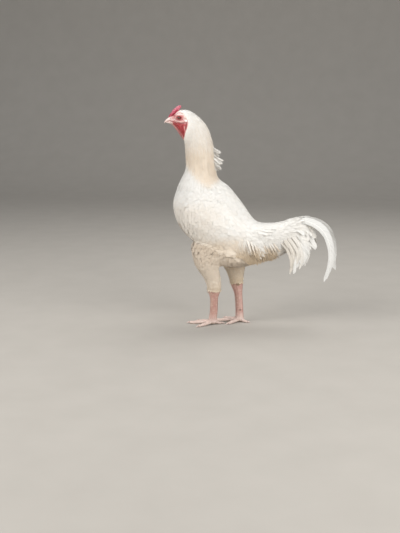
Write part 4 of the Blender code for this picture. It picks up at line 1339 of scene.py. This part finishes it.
@step
class ROOSTER_OT_body_feathers(bpy.types.Operator):
    """Soft contour feathers of breast, back, flanks and belly, and of the thighs down to the hocks"""
    bl_idname = "rooster.body_feathers"
    bl_label = "Body Feathers"

    def execute(self, context):
        ground = skin_ground()
        height = ground.roots[:, 2] - ground.hock
        leg_length = np.interp(height, [0, 12, 30, 70, 130], [9, 12, 15, 17, 21])
        length = np.interp(ground.s, [6, 7, 8, 9, 10, 11, 12, 13, 14.5, 16],
            [17, 18, 20, 23, 25, 26, 27, 27, 26, 22])
        length = length * (1 - ground.leg) + leg_length * ground.leg
        mask = ((ground.s > 6.5) & (ground.s < 16) & (ground.roots[:, 2] < 480)) | (ground.leg > 0.5)
        mask &= ground.wing < np.where(ground.soft, 8, -3)
        mask &= (height > 1.0) | (ground.leg < 0.5)
        pick, rng, roots, normals, s, flow, patch = ground.pick(mask, length * 0.25, 43)
        n = len(pick)
        leg, height = ground.leg[pick], height[pick]
        long = length[pick] * rng.uniform(0.88, 1.12, n)
        belly = ramp(1.9, 2.6, ground.turn[pick]) * ramp(10.2, 11.3, s) * (1 - leg)
        heading = unit(flow + np.outer(belly, (0.0, 0.0, -0.25)))
        heading = swayed(heading, normals, rng, 0.07)
        deep = np.interp(s, [6, 8, 9, 11, 12.3, 13.2, 14, 15], [4.2, 5.0, 5.3, 6.2, 7.0, 6.2, 4.6, 2.8])
        deep = deep * (1 + 0.2 * belly)
        on_leg = np.interp(height, [0, 8, 30, 90], [2.0, 2.8, 3.8, 5.0])
        deep = deep * (1 - leg) + on_leg * leg + rng.uniform(-0.3, 0.35, n)
        centre, facing = lay(ground.tree, roots, normals, heading, long, deep, rise=1.6)
        free = (leg > 0.5) & (height < 26)
        if free.any():
            down = np.tile((0.1, 0.0, -1.0), (free.sum(), 1))
            centre[free], facing[free] = lay(ground.tree, roots[free], normals[free], heading[free],
                long[free], deep[free], pull=down, stiff=0.75, cling=False)
        low = ramp(45, 5, height) * leg
        # Painted shade on the thigh and belly feathers below the wing's lower edge. It is on the left side
        # only and fades out low on the thigh.
        x, y, z = np.moveaxis(centre, 2, 0)
        below = np.interp(x, *np.transpose(CREASE)) - z
        painted_shade = ramp(-3, 5, below) * (1 + 0.4 * ramp(24, 6, below)) * (1 - 0.7 * ramp(195, 160, z))
        painted_shade *= ramp(130, 90, x) * ramp(15, -5, y)
        tone = rng.uniform(0, 0.07, (n, 1)) + 0.42 * painted_shade
        cream = body_cream(centre) + (rng.uniform(-0.08, 0.08, n) + 0.2 * low)[:, None]
        cream = np.clip(np.maximum(cream, neck_cream(centre)), 0, 1)
        straw = 0.04 + 0.25 * low + 0.3 * leg * (roots[:, 1] > 0)
        half = long * (0.285 - 0.03 * leg)
        for name, mine in (("contour_feathers", leg < 0.5), ("thigh_feathers", leg >= 0.5)):
            coat = Coat()
            index = np.flatnonzero(mine)
            shape = blades(half[index], "round", rng, 0.07)
            tags = {"tone": tone[index], "cream": cream[index], "straw": straw[index], "span": long[index]}
            coat.add(centre[index], facing[index], shape, ROWS, patch[index], thick=0.16, **tags)
            fringe(coat, rng, centre[index], facing[index], shape, ROWS, patch[index], 11, overhang=1.7,
                wide=0.45, **tags)
            coat.make(name)
        return {"FINISHED"}


WING_STEP = 0.05


def body_cream(p):
    """How cream the plumage is: white over the shoulders and back, warmer on the lower breast and wing, and
    most on belly, flanks and thighs."""
    x, z = p[..., 0], p[..., 2]
    breast = 0.3 * ramp(385, 335, z) * ramp(30, -60, x)
    low = np.maximum(0.85 * ramp(285, 235, z) * ramp(90, 40, x), 0.8 * ramp(240, 210, z) * ramp(170, 120, x))
    return 0.04 + np.maximum(breast, low)


def wing_flat(a, t):
    """Places on the folded wing in the side view: a runs from shoulder to tip, and t from the lower edge to
    the upper."""
    x0, z0, x1, z1 = curve_rows(WING, a).T
    return beside(x0 + (x1 - x0) * t, z0 + (z1 - z0) * t)


def wing_lay(ground, side, a, t, length, depth, rows, rise, start):
    """Shafts that run along the folded wing from a and t."""
    n, r = len(a), len(rows)
    centre, facing = np.empty((n, r, 3)), np.empty((n, r, 3))
    a = a.copy()
    for k in range(r):
        if k:
            speed = np.linalg.norm(wing_flat(a + WING_STEP, t) - wing_flat(a - WING_STEP, t), axis=1)
            a += length * (rows[k] - rows[k - 1]) / np.maximum(speed / (2 * WING_STEP), 8.0)
        for i, (x, z) in enumerate(wing_flat(a, t)):
            hit, out, _, _ = ground.tree.ray_cast((x, side * 140.0, z), (0.0, -side, 0.0))
            if hit is None or hit[1] * side < 5:
                hit, out, _, _ = ground.tree.find_nearest((x, side * 30.0, z))
            centre[i, k], facing[i, k] = hit, out
    for _ in range(2):      # settle the shafts so that they bridge hollows in the skin
        centre[:, 1:-1] = (centre[:, :-2] + 2 * centre[:, 1:-1] + centre[:, 2:]) / 4
        facing[:, 1:-1] = unit(facing[:, :-2] + 2 * facing[:, 1:-1] + facing[:, 2:])
    lift = depth[:, None] * (start + (1 - start) * (1 - (1 - rows) ** rise))
    return centre + facing * lift[:, :, None], facing


LONG_ROWS = np.array([0.0, 0.06, 0.18, 0.34, 0.5, 0.66, 0.8, 0.91, 0.975, 1.0])


def long_profile(name):
    return np.interp(LONG_ROWS, ROWS, PROFILES[name])


@step
class ROOSTER_OT_wing_feathers(bpy.types.Operator):
    """Folded wings: coverts, small on the shoulder and larger behind, then secondaries over primaries"""
    bl_idname = "rooster.wing_feathers"
    bl_label = "Wing Feathers"

    def execute(self, context):
        ground = skin_ground()
        # Every place on the wing as a and t, to look roots up in.
        grid = beside(np.linspace(0, len(WING) - 1, 180)[:, None], np.linspace(0, 1, 60)).reshape(-1, 2)
        places_on_wing = lookup(np.insert(wing_flat(*grid.T), 1, 0.0, axis=1))
        for side, label in LABELS.items():
            rng = np.random.default_rng(50 + side)
            coat = Coat()

            def row(a, t, length, half, depth, rise, start=0.0, rows=ROWS, columns=3, cream=0.0, thick=0.18,
                    strands=0):
                n = len(a)
                long = length * rng.uniform(0.93, 1.07, n)
                deep = depth + rng.uniform(-0.15, 0.25, n)
                centre, facing = wing_lay(ground, side, a, t, long, deep, rows, rise, start)
                shape = "round" if rows is ROWS else long_profile("strap")
                shape = blades(np.broadcast_to(half, n), shape, rng, 0.04)
                patch = beside(0.1 + 0.3 * t + 0.45 * (side > 0), a / 12)
                tags = {"tone": rng.uniform(0, 0.05, n), "straw": 0.05, "span": long,
                    "cream": np.clip(cream + body_cream(centre) + rng.uniform(-0.06, 0.08, (n, 1)), 0, 1)}
                coat.add(centre, facing, shape, rows, patch, thick=thick, columns=columns, **tags)
                if strands:
                    fringe(coat, rng, centre, facing, shape, rows, patch, strands, overhang=1.3, **tags)

            # Primaries along the lower edge, then secondaries, each lying over the one below it.
            count = 7
            order = np.arange(count)
            row(2.8 + 0.1 * order, np.linspace(0.02, 0.13, count), 190.0, 8.5, 1.6 + 0.2 * order, 1.2, 0.3,
                LONG_ROWS, columns=5, cream=0.1, thick=0.5)
            count = 14
            order = np.arange(count)
            row(3.4 + 0.02 * order, np.linspace(0.08, 0.92, count), np.linspace(146, 116, count), 9.5,
                2.3 + 0.12 * order, 1.5, 0.35, LONG_ROWS, columns=5, thick=0.5)
            # Coverts, small on the shoulder and longer towards the secondaries.
            mask = (ground.wing > np.where(ground.soft, 1.5, -1.5)) & (ground.roots[:, 1] * side > 0)
            a, t = np.zeros(len(ground.s)), np.zeros(len(ground.s))
            for i in np.flatnonzero(mask):
                a[i], t[i] = grid[places_on_wing.find((ground.roots[i, 0], 0.0, ground.roots[i, 2]))[1]]
            length = np.interp(a, [0, 1.5, 3.2, 4.5, 6.4], [18, 21, 28, 38, 54])
            pick = ground.pick(mask & (a < 6.4 - 0.6 * t), length * 0.23, 57 + side)[0]
            length = length[pick]
            row(a[pick], t[pick], length, np.interp(length, [18, 30, 54], [5.0, 8.0, 9.5]),
                np.interp(a[pick], [0, 3, 4.5, 6.4], [4.6, 4.7, 5.0, 5.6]) + 1.6 * ramp(0.25, 0.05, t[pick]),
                1.6, strands=11)
            coat.make("wing_feathers_" + label)
        return {"FINISHED"}


@step
class ROOSTER_OT_saddle(bpy.types.Operator):
    """Saddle feathers: broad and smooth over the rump, long and pointed where they hang over the flanks"""
    bl_idname = "rooster.saddle"
    bl_label = "Saddle"

    def execute(self, context):
        ground = skin_ground()
        coat = Coat()
        reach = np.interp(ground.s, [9.6, 10.4, 11.2, 14.5], [0.7, 1.1, 1.7, 2.0])
        x, _, z = ground.roots.T
        down = unit((0.05, 0.0, -1.0))
        stray = np.random.default_rng(7).uniform(-16, 9, len(x))
        hung = (ground.turn > 0.75) & (z < 282) & (z > 206) & (x > 40 + stray) & (x < 112 + stray)
        hung &= (ground.turn < 2.5) & (z > 262 - 0.7 * x)
        # Whether they hang, which roots, gap, half width, sway, how far down they turn, barbs.
        tracts = [(False, ground.turn < reach, 5.4, 5.8, 0.05, 0.12, 11),
            (True, hung, 3.9, 2.5, 0.06, 1.0, 5)]
        for hanging, mask, gap, half, sway, hang, strands in tracts:
            mask = mask & (ground.s > 9.6) & (ground.s < 14.6) & (ground.leg < 0.5)
            pick, rng, roots, normals, s, flow, patch = ground.pick(mask, gap, int(gap * 10))
            n = len(pick)
            long = np.interp(s, [9.6, 10.5, 12, 13.6, 14.5], [40, 50, 56, 54, 48]) * rng.uniform(0.86, 1.1, n)
            if hanging:         # down to one ragged line under the flank
                short = 1 - 0.4 * ramp(66, 36, roots[:, 0])
                long = np.clip((roots[:, 2] - 190) * 1.08 + rng.normal(0, 4, n), 14, 66) * short
            onward = 1 - (0.7 - 0.8 * ramp(80, 140, roots[:, :1])) * hanging
            heading = unit(swayed(flow, normals, rng, sway) * onward + hang * down)
            deep = rng.uniform(0, 0.3, n) + np.interp(s, [9.6, 11, 12.3, 13.6, 14.5],
                [6.0, 6.8, 7.4, 6.4, 5.0])
            pull = unit(0.5 * down - 0.8 * normals)
            centre, facing = lay(ground.tree, roots, normals, heading, long, deep + 0.8 * hanging,
                rows=LONG_ROWS, rise=1.1, pull=pull, stiff=0.95, cling=False)
            tip = ramp(246, 200, centre[:, :, 2]) * hanging
            streak = 0.6 * hanging * rng.uniform(0, 1, (n, 1)) ** 2
            tags = {"tone": 0.5 * tip + rng.uniform(0, 0.05, (n, 1)), "span": long, "straw": 0.03 + 0.7 * tip,
                "cream": np.clip(0.05 + streak + 0.6 * tip + 0.5 * body_cream(centre), 0, 1)}
            shape = blades(half + 0.4 * rng.uniform(-1, 1, n), long_profile("lance" if hanging else "saddle"),
                rng, 0.08)
            coat.add(centre, facing, shape, LONG_ROWS, patch, thick=0.18, camber=0.14, **tags)
            fringe(coat, rng, centre, facing, shape, LONG_ROWS, patch, strands, overhang=1.4, start=0.3,
                fan=1.0, **tags)
        coat.make("saddle_feathers")
        return {"FINISHED"}


# ======== Long plumes

STRIP_ROWS = np.array([0.0, 0.25, 0.5, 0.75, 0.92, 1.0])
STRIP_SHAPE = np.array([0, 0.95, 1.0, 0.85, 0.5, 0])
STRIP_STEP = 1.7         # from strip to strip along the shaft, in millimetres


def plume(coat, rng, line, half, facing, patch, ragged, cream, shade):
    """A long feather: a tapered shaft along the points of line with barbs in narrow strips on both sides.
    half gives the vane's half width for t from 0 to 1, and facing the way that its outer side looks."""
    rows = np.asarray(line, float)
    path = curve_rows(rows, np.linspace(0, len(rows) - 1, 120))
    arc = np.concatenate([[0], np.cumsum(np.linalg.norm(np.diff(path, axis=0), axis=1))])
    total = arc[-1]

    def spot(t):
        return beside(*(np.interp(np.clip(t, 0, 1) * total, arc, path[:, k]) for k in range(3)))

    def frame_at(t):
        along = unit(spot(t + 0.02) - spot(t - 0.02))
        out = unit(facing - along * dot(np.broadcast_to(facing, along.shape), along)[:, None])
        return spot(t), along, out

    t = np.linspace(0, 0.97, 24)
    place, _, out = frame_at(t)
    thickness = (1.1 - t * 0.95) * np.concatenate([[0], np.ones(22), [0]])
    coat.add(place[None] + out[None] * 0.2, out[None], thickness[None], t, [patch], thick=1.2, camber=0.3,
        cream=cream * 0.5 + 0.1)
    # The barbs, in strips that part from each other here and there.
    count = int(total * 0.97 / STRIP_STEP)
    for side in (-1, 1):
        t = np.clip((np.arange(count) + rng.uniform(-0.2, 0.2, count)) / count * 0.985 + 0.012, 0, 0.995)
        place, along, out = frame_at(t)
        across = np.cross(along, out) * side
        group = np.cumsum(rng.uniform(0, 1, count) < 0.06 + 0.3 * ragged * t)
        lean = rng.normal(0, 1.0, group.max() + 1)[group] * (0.03 + 0.26 * ragged)
        angle = np.radians(np.interp(t, [0, 0.3, 0.8, 1], [58, 42, 30, 12])) + lean
        wide = half(t) * (1 + rng.normal(0, 0.02 + 0.12 * ragged, count))
        wide *= 1 + rng.normal(0, 1, group.max() + 1)[group] * (0.02 + 0.12 * ragged)
        wide = np.maximum(wide, 0.8)
        reach = np.minimum(wide / np.sin(np.clip(angle, 0.3, 1.2)), wide * 2.4)
        share = 1.12 * STRIP_ROWS[None, :, None] - 0.12
        swing = angle[:, None, None] * (1 - 0.35 * share)
        reaching = np.cos(swing) * along[:, None] + np.sin(swing) * across[:, None]
        strip = place[:, None] + reach[:, None, None] * share * reaching
        lift = (0.25 - 0.16 * wide)[:, None, None] * share ** 2
        lift = lift + rng.uniform(-0.1, 0.1, (count, 1, 1)) * share
        strip = strip + out[:, None] * lift
        # shade darkens every strip towards the tail's shade colour, as painted shade; the rest of the tone is
        # random.
        tone = rng.uniform(0, 0.16, count) + shade + 0.14 * (rng.uniform(0, 1, count) < 0.12)
        coat.add(strip, np.repeat(out[:, None], len(STRIP_ROWS), axis=1),
            np.tile(STRIP_STEP * 0.82 * STRIP_SHAPE, (count, 1)), STRIP_ROWS,
            patch + beside(side * 0.001, t * 0.02), thick=0.22, camber=0.0, along=(0.5 + 0.5 * t)[:, None],
            tone=tone, cream=cream)


def covert_half(width):
    """Half width of a hanging covert: broad at first, with a long soft point."""
    return lambda t: width / 2 * np.interp(t, [0, 0.12, 0.35, 0.6, 0.8, 0.93, 1],
        [0.3, 0.75, 1, 0.86, 0.52, 0.22, 0.03])


def sickle_half(t):
    """Half width of a sickle: broad over its bend and narrow towards its tip."""
    return np.interp(t, [0, 0.1, 0.25, 0.4, 0.55, 0.75, 0.9, 1.0], [10, 15, 18, 17, 14.5, 11, 7.5, 1.0])


# Curved coverts that hang over the root of the tail, on either side: y at the root and at the tip, width, how
# ragged, how cream, and the line as x and z.
HANGING = [
    (16, 31, 28, 0.3, 0.8, [(112, 300), (150, 286), (179, 256), (196, 215), (191, 162)]),
    (17, 33, 24, 0.4, 0.9, [(110, 286), (146, 270), (174, 244), (190, 213), (191, 182)]),
    (13, 27, 27, 0.3, 0.4, [(144, 300), (181, 285), (208, 255), (220, 216), (212, 177)]),
    (15, 29, 25, 0.4, 0.6, [(132, 298), (168, 282), (196, 251), (209, 220), (204, 188)]),
    (9, 20, 27, 0.3, 0.2, [(158, 304), (197, 291), (223, 262), (235, 224), (232, 184)]),
    (11, 23, 25, 0.4, 0.3, [(152, 300), (190, 284), (215, 254), (227, 224), (223, 190)]),
    (5, 10, 25, 0.45, 0.1, [(178, 302), (214, 290), (241, 270), (264, 242)]),
    (6, 13, 22, 0.5, 0.15, [(180, 296), (212, 276), (234, 252), (250, 236)]),
    (4, 8, 23, 0.4, 0.1, [(182, 306), (213, 301), (237, 288), (252, 264)]),
    (11, 17, 28, 0.15, 0.05, [(138, 302), (172, 302), (202, 294), (228, 277)]),
]


@step
class ROOSTER_OT_tail(bpy.types.Operator):
    """Sickles, tail vanes and the hanging coverts"""
    bl_idname = "rooster.tail"
    bl_label = "Tail"

    def execute(self, context):
        for side, label in LABELS.items():
            rng = np.random.default_rng(80 + side)
            coat = Coat()
            names = [name for name in TAIL if name.split("_")[-1] == label or "_%s_" % label in name]
            facing = unit((0.1, side, 0.25))
            for number, name in enumerate(names):
                y0, y1, width, line = TAIL[name]
                line = np.array(line, float)
                path = beside(line[:, 0], np.linspace(y0, y1, len(line)), line[:, 1])
                sickle = name.startswith("sickle")
                plume(coat, rng, path, sickle_half if sickle else covert_half(1.15 * width + 2.0), facing,
                    ragged=0.04 if sickle else 0.7, patch=(0.3 + 0.1 * number, 0.5 + 0.2 * side),
                    cream=0.0 if sickle else 0.12, shade=0.3)
            for number, (y0, y1, width, ragged, cream, line) in enumerate(HANGING):
                line = np.array(line, float)
                line[1:] += rng.normal(0, 2.0, line[1:].shape) * np.linspace(0.3, 1.0, len(line) - 1)[:, None]
                path = beside(line[:, 0], side * np.linspace(y0, y1, len(line)), line[:, 1])
                out = unit((0.1, side, 0.25 + 0.8 * (1 - ragged)))
                plume(coat, rng, path, covert_half(1.15 * width), out, ragged=ragged,
                    patch=(0.32 + 0.05 * number, 0.55 + 0.2 * side), cream=cream, shade=0.16 + 0.32 * cream)
            coat.make("tail_feathers_" + label, "tail_plumes", "tail_feathers")
            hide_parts(*names)
        return {"FINISHED"}


@step
class ROOSTER_OT_tail_coverts(bpy.types.Operator):
    """Broad feathers that cover the root of the tail"""
    bl_idname = "rooster.tail_coverts"
    bl_label = "Tail Coverts"

    def execute(self, context):
        ground = skin_ground()
        pick, rng, roots, normals, s, flow, patch = ground.pick((ground.s > 13) & (ground.s < 16), 6.4, 91)
        n = len(pick)
        under = ramp(1.7, 2.4, ground.turn[pick])
        long = np.interp(s, [13.0, 14.5, 16.0], [52, 46, 32]) * rng.uniform(0.85, 1.1, n) * (1 - 0.45 * under)
        down = unit((0.8, 0.0, -0.6)) * np.ones((n, 1))
        pull = unit(np.where(s[:, None] < 14.8, 0.6 * down - 0.8 * normals, down))
        stiff = np.where(ground.turn[pick] < 1.2, 0.87, 0.94)[:, None]
        heading = unit(swayed(flow, normals, rng, 0.09) + 0.15 * down)
        deep = np.interp(s, [13, 14, 15, 16], [6.2, 5.0, 3.8, 2.6]) + rng.uniform(0, 0.3, n)
        centre, facing = lay(ground.tree, roots, normals, heading, long, deep, rows=LONG_ROWS, rise=1.4,
            pull=pull, stiff=stiff, cling=False)
        shape = blades(rng.uniform(7.5, 9.5, n), long_profile("saddle"), rng, 0.06)
        # tone makes the feathers underneath darker, as painted shade; under also makes them more cream.
        tags = {"tone": rng.uniform(0, 0.1, n) + 0.12 * under, "cream": rng.uniform(0, 0.14, n) + 0.3 * under,
            "straw": 0.05, "span": long}
        coat = Coat()
        coat.add(centre, facing, shape, LONG_ROWS, patch, thick=0.18, **tags)
        fringe(coat, rng, centre, facing, shape, LONG_ROWS, patch, 13, overhang=2.0, start=0.35, fan=1.1,
            **tags)
        coat.make("tail_root_feathers", slot="tail_feathers")
        return {"FINISHED"}


@step
class ROOSTER_OT_ruff(bpy.types.Operator):
    """Ruffled wisps that stand off the nape"""
    bl_idname = "rooster.ruff"
    bl_label = "Ruff"

    def execute(self, context):
        ground = skin_ground()
        rng = np.random.default_rng(101)
        coat = Coat()
        # Each tuft: its tip, how far it spreads across the neck, how much higher its roots lie, feathers.
        for tip, wide, rise, count in (((-20.5, -6, 511), 8.0, 16.0, 50), ((-25.0, -2, 502), 9.0, 16.0, 45),
                ((-12.0, -4, 487), 9.0, 19.0, 56), ((-15.0, -8, 480), 9.0, 19.0, 50),
                ((-22.0, -1, 474), 10.0, 18.0, 50), ((-19.0, -5, 465), 9.0, 17.0, 50)):
            tip = np.array(tip, float)
            spot = rng.normal(0, 0.45, (count, 2)).clip(-1, 1)
            start = beside(-40.0, tip[1] + wide * spot[:, 0], tip[2] + rise + 7.0 * spot[:, 1]
                + rng.uniform(-5, 5, count))
            roots, normals = snap(ground.tree, start)
            short = rng.uniform(0, 1, (count, 1)) ** 1.3
            ends = tip + beside(0, wide * 0.35 * spot[:, 0] + rng.normal(0, 1.0, count),
                2.0 * spot[:, 1] + rng.normal(0, 1.0, count))
            hung = roots + beside(rng.uniform(2, 6, count), 0, -rise * 1.1)
            ends = ends + (hung - ends) * short * 0.75
            bend = roots + normals * 4.5 + np.array([1.5, 0.0, -0.62 * rise])
            t = LONG_ROWS[None, :, None]
            centre = (roots[:, None] * (1 - t) ** 2 + bend[:, None] * (2 * t * (1 - t))
                + ends[:, None] * t ** 2)
            flick = beside(0, 0, rng.normal(0.8, 1.5, count))
            centre = centre + flick[:, None] * t ** 3
            facing = unit(normals + beside(0, rng.normal(0, 0.5, count), 0.6))
            facing = np.repeat(facing[:, None], len(LONG_ROWS), axis=1)
            shape = blades(rng.uniform(1.0, 1.9, count), long_profile("lance"), rng, 0.2)
            patch = beside(0.5 + 0.1 * spot[:, 0], 0.3 + 0.05 * spot[:, 1])
            tags = {"tone": rng.uniform(0, 0.12, count), "cream": 0.15, "span": 24.0}
            coat.add(centre, facing, shape, LONG_ROWS, patch, thick=0.14, camber=0.25, **tags)
            fringe(coat, rng, centre, facing, shape, LONG_ROWS, patch, 8, overhang=1.6, start=0.45, wide=0.22,
                fan=1.2, **tags)
        made = coat.make("nape_ruff")
        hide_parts("ruff_lower", "ruff_middle", "ruff_upper")
        return {"FINISHED"}


# ======== The stage

@step
class ROOSTER_OT_stage(bpy.types.Operator):
    """Pale curved backdrop, soft studio lights and the camera"""
    bl_idname = "rooster.stage"
    bl_label = "Studio"

    def execute(self, context):
        scene = context.scene
        studio = scene.rooster_studio
        # Backdrop: a floor that curves up into a wall behind.
        bm = bmesh.new()
        bmesh.ops.create_grid(bm, x_segments=1, y_segments=48, size=1.0)
        front, reach, half_width, depth, bend = -4.0, 16.0, 9.0, 3.4, 1.6
        for v in bm.verts:
            run = (v.co.y + 1) / 2 * reach + front
            v.co.x *= half_width
            turn = min(max((run - depth) / bend, 0.0), math.pi / 2)
            rest = max(run - depth - bend * math.pi / 2, 0.0)
            v.co.y = min(run, depth) + bend * math.sin(turn)
            v.co.z = bend * (1 - math.cos(turn)) + rest
        bmesh.ops.recalc_face_normals(bm, faces=bm.faces)
        backdrop = placed("backdrop", stored_mesh("backdrop", bm))
        backdrop.data.shade_smooth()
        backdrop.data.materials.append(surface("backdrop_paper"))
        target = Vector((0.0, 0.0, 0.33))
        for name, place, size, power in (("key_light", (-2.1, -1.6, 1.9), 1.8, studio.key_power),
                ("fill_light", (1.9, -1.6, 1.3), 2.4, studio.fill_power),
                ("top_light", (0.4, 1.0, 2.6), 1.8, studio.top_power)):
            light = bpy.data.lights.new(name, "AREA")
            light.shape = "DISK"
            light.size = size
            light.energy = power
            lamp = placed(name, light)
            lamp.location = place
            lamp.rotation_euler = (target - lamp.location).to_track_quat("-Z", "Y").to_euler()
        world = bpy.data.worlds.new("studio_air")
        world.use_nodes = True
        air = world.node_tree.nodes["Background"]
        air.inputs["Color"].default_value = colour("#e8ecf2")
        air.inputs["Strength"].default_value = studio.air_light
        scene.world = world
        lens = bpy.data.cameras.new("camera")
        lens.sensor_width = lens.sensor_height = 36.0
        lens.lens = studio.lens
        view = placed("camera", lens)
        view.location = ORIGIN + Vector(studio.camera_place)
        view.rotation_euler = (math.pi / 2 - studio.camera_drop, 0.0, studio.camera_turn)
        scene.camera = view
        scene.view_settings.view_transform = "Standard"
        return {"FINISHED"}


# ======== The add-on

def tint(name, description, code):
    return FloatVectorProperty(name=name, description=description, subtype="COLOR", size=3, min=0.0, max=1.0,
        default=colour(code)[:3])


class RoosterColours(bpy.types.PropertyGroup):
    plumage: tint("Plumage", "White of the body feathers", "#f3f1ec")
    cream: tint("Cream", "Warm white of the neck and flanks", "#ebdcc8")
    straw: tint("Straw", "Stain on the tips of the saddle feathers", "#cdb284")
    face_pink: tint("Face", "Bare skin of the face", "#d69a96")
    face_red: tint("Throat", "Red skin of the throat", "#b9474a")
    comb: tint("Comb", "Skin of the comb", "#a52b43")
    lobe: tint("Ear Lobe", "Skin of the ear lobes", "#fdf5f2")
    horn: tint("Horn", "Horn of bill and claws", "#ead3ca")
    leg: tint("Legs", "Scales of shanks and toes", "#ccab9b")
    iris: tint("Iris", "Iris of the eyes", "#5c2417")
    backdrop: tint("Backdrop", "Paper behind and under the bird", "#b3ada4")


class RoosterSizes(bpy.types.PropertyGroup):
    body_coat: FloatProperty(name="Body Coat", description="Depth of the plumage on the body", default=0.0055,
        min=0.001, max=0.02, unit="LENGTH")
    wing_coat: FloatProperty(name="Wing Coat", description="Depth of the plumage on the folded wing",
        default=0.0045, min=0.001, max=0.02, unit="LENGTH")


class RoosterStudio(bpy.types.PropertyGroup):
    key_power: FloatProperty(name="Key Light", description="Power of the main light", default=60.0, min=0.0,
        subtype="POWER")
    fill_power: FloatProperty(name="Fill Light", description="Power of the fill light", default=58.0, min=0.0,
        subtype="POWER")
    top_power: FloatProperty(name="Top Light", description="Power of the light behind and above",
        default=28.0, min=0.0, subtype="POWER")
    air_light: FloatProperty(name="Air Light", description="Strength of the light from all round",
        default=0.46, min=0.0)
    lens: FloatProperty(name="Lens", description="Focal length", default=55.385, min=10.0, unit="CAMERA")
    camera_place: FloatVectorProperty(name="Camera Place", description="From the floor between the feet",
        default=(0.2548, -2.4022, 0.64), size=3, subtype="TRANSLATION", unit="LENGTH")
    camera_turn: FloatProperty(name="Camera Turn", description="Turn about the vertical, to the left",
        default=math.radians(8.0), subtype="ANGLE", unit="ROTATION")
    camera_drop: FloatProperty(name="Camera Drop", description="Tilt below the horizon",
        default=math.radians(10.94), subtype="ANGLE", unit="ROTATION")


class ROOSTER_PT_steps(bpy.types.Panel):
    """Lists the pieces of the rooster"""
    bl_idname = "ROOSTER_PT_steps"
    bl_label = "Rooster"
    bl_space_type = "VIEW_3D"
    bl_region_type = "UI"
    bl_category = "Rooster"

    def draw(self, context):
        column = self.layout.column(align=True)
        for step in STEPS:
            column.operator(step.bl_idname)
        for group in (context.scene.rooster_colours, context.scene.rooster_sizes,
                context.scene.rooster_studio):
            box = self.layout.box()
            for key in group.__annotations__:
                box.prop(group, key)


GROUPS = {"rooster_colours": RoosterColours, "rooster_sizes": RoosterSizes, "rooster_studio": RoosterStudio}


def register():
    for group in GROUPS.values():
        bpy.utils.register_class(group)
    for key, group in GROUPS.items():
        setattr(bpy.types.Scene, key, PointerProperty(type=group))
    for step in STEPS:
        bpy.utils.register_class(step)
    bpy.utils.register_class(ROOSTER_PT_steps)


def unregister():
    bpy.utils.unregister_class(ROOSTER_PT_steps)
    for step in reversed(STEPS):
        bpy.utils.unregister_class(step)
    for key in GROUPS:
        delattr(bpy.types.Scene, key)
    for group in reversed(list(GROUPS.values())):
        bpy.utils.unregister_class(group)


def main():
    register()
    for step in STEPS:
        getattr(bpy.ops.rooster, step.bl_idname.split(".")[1])()
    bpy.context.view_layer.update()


if __name__ == "__main__":
    main()
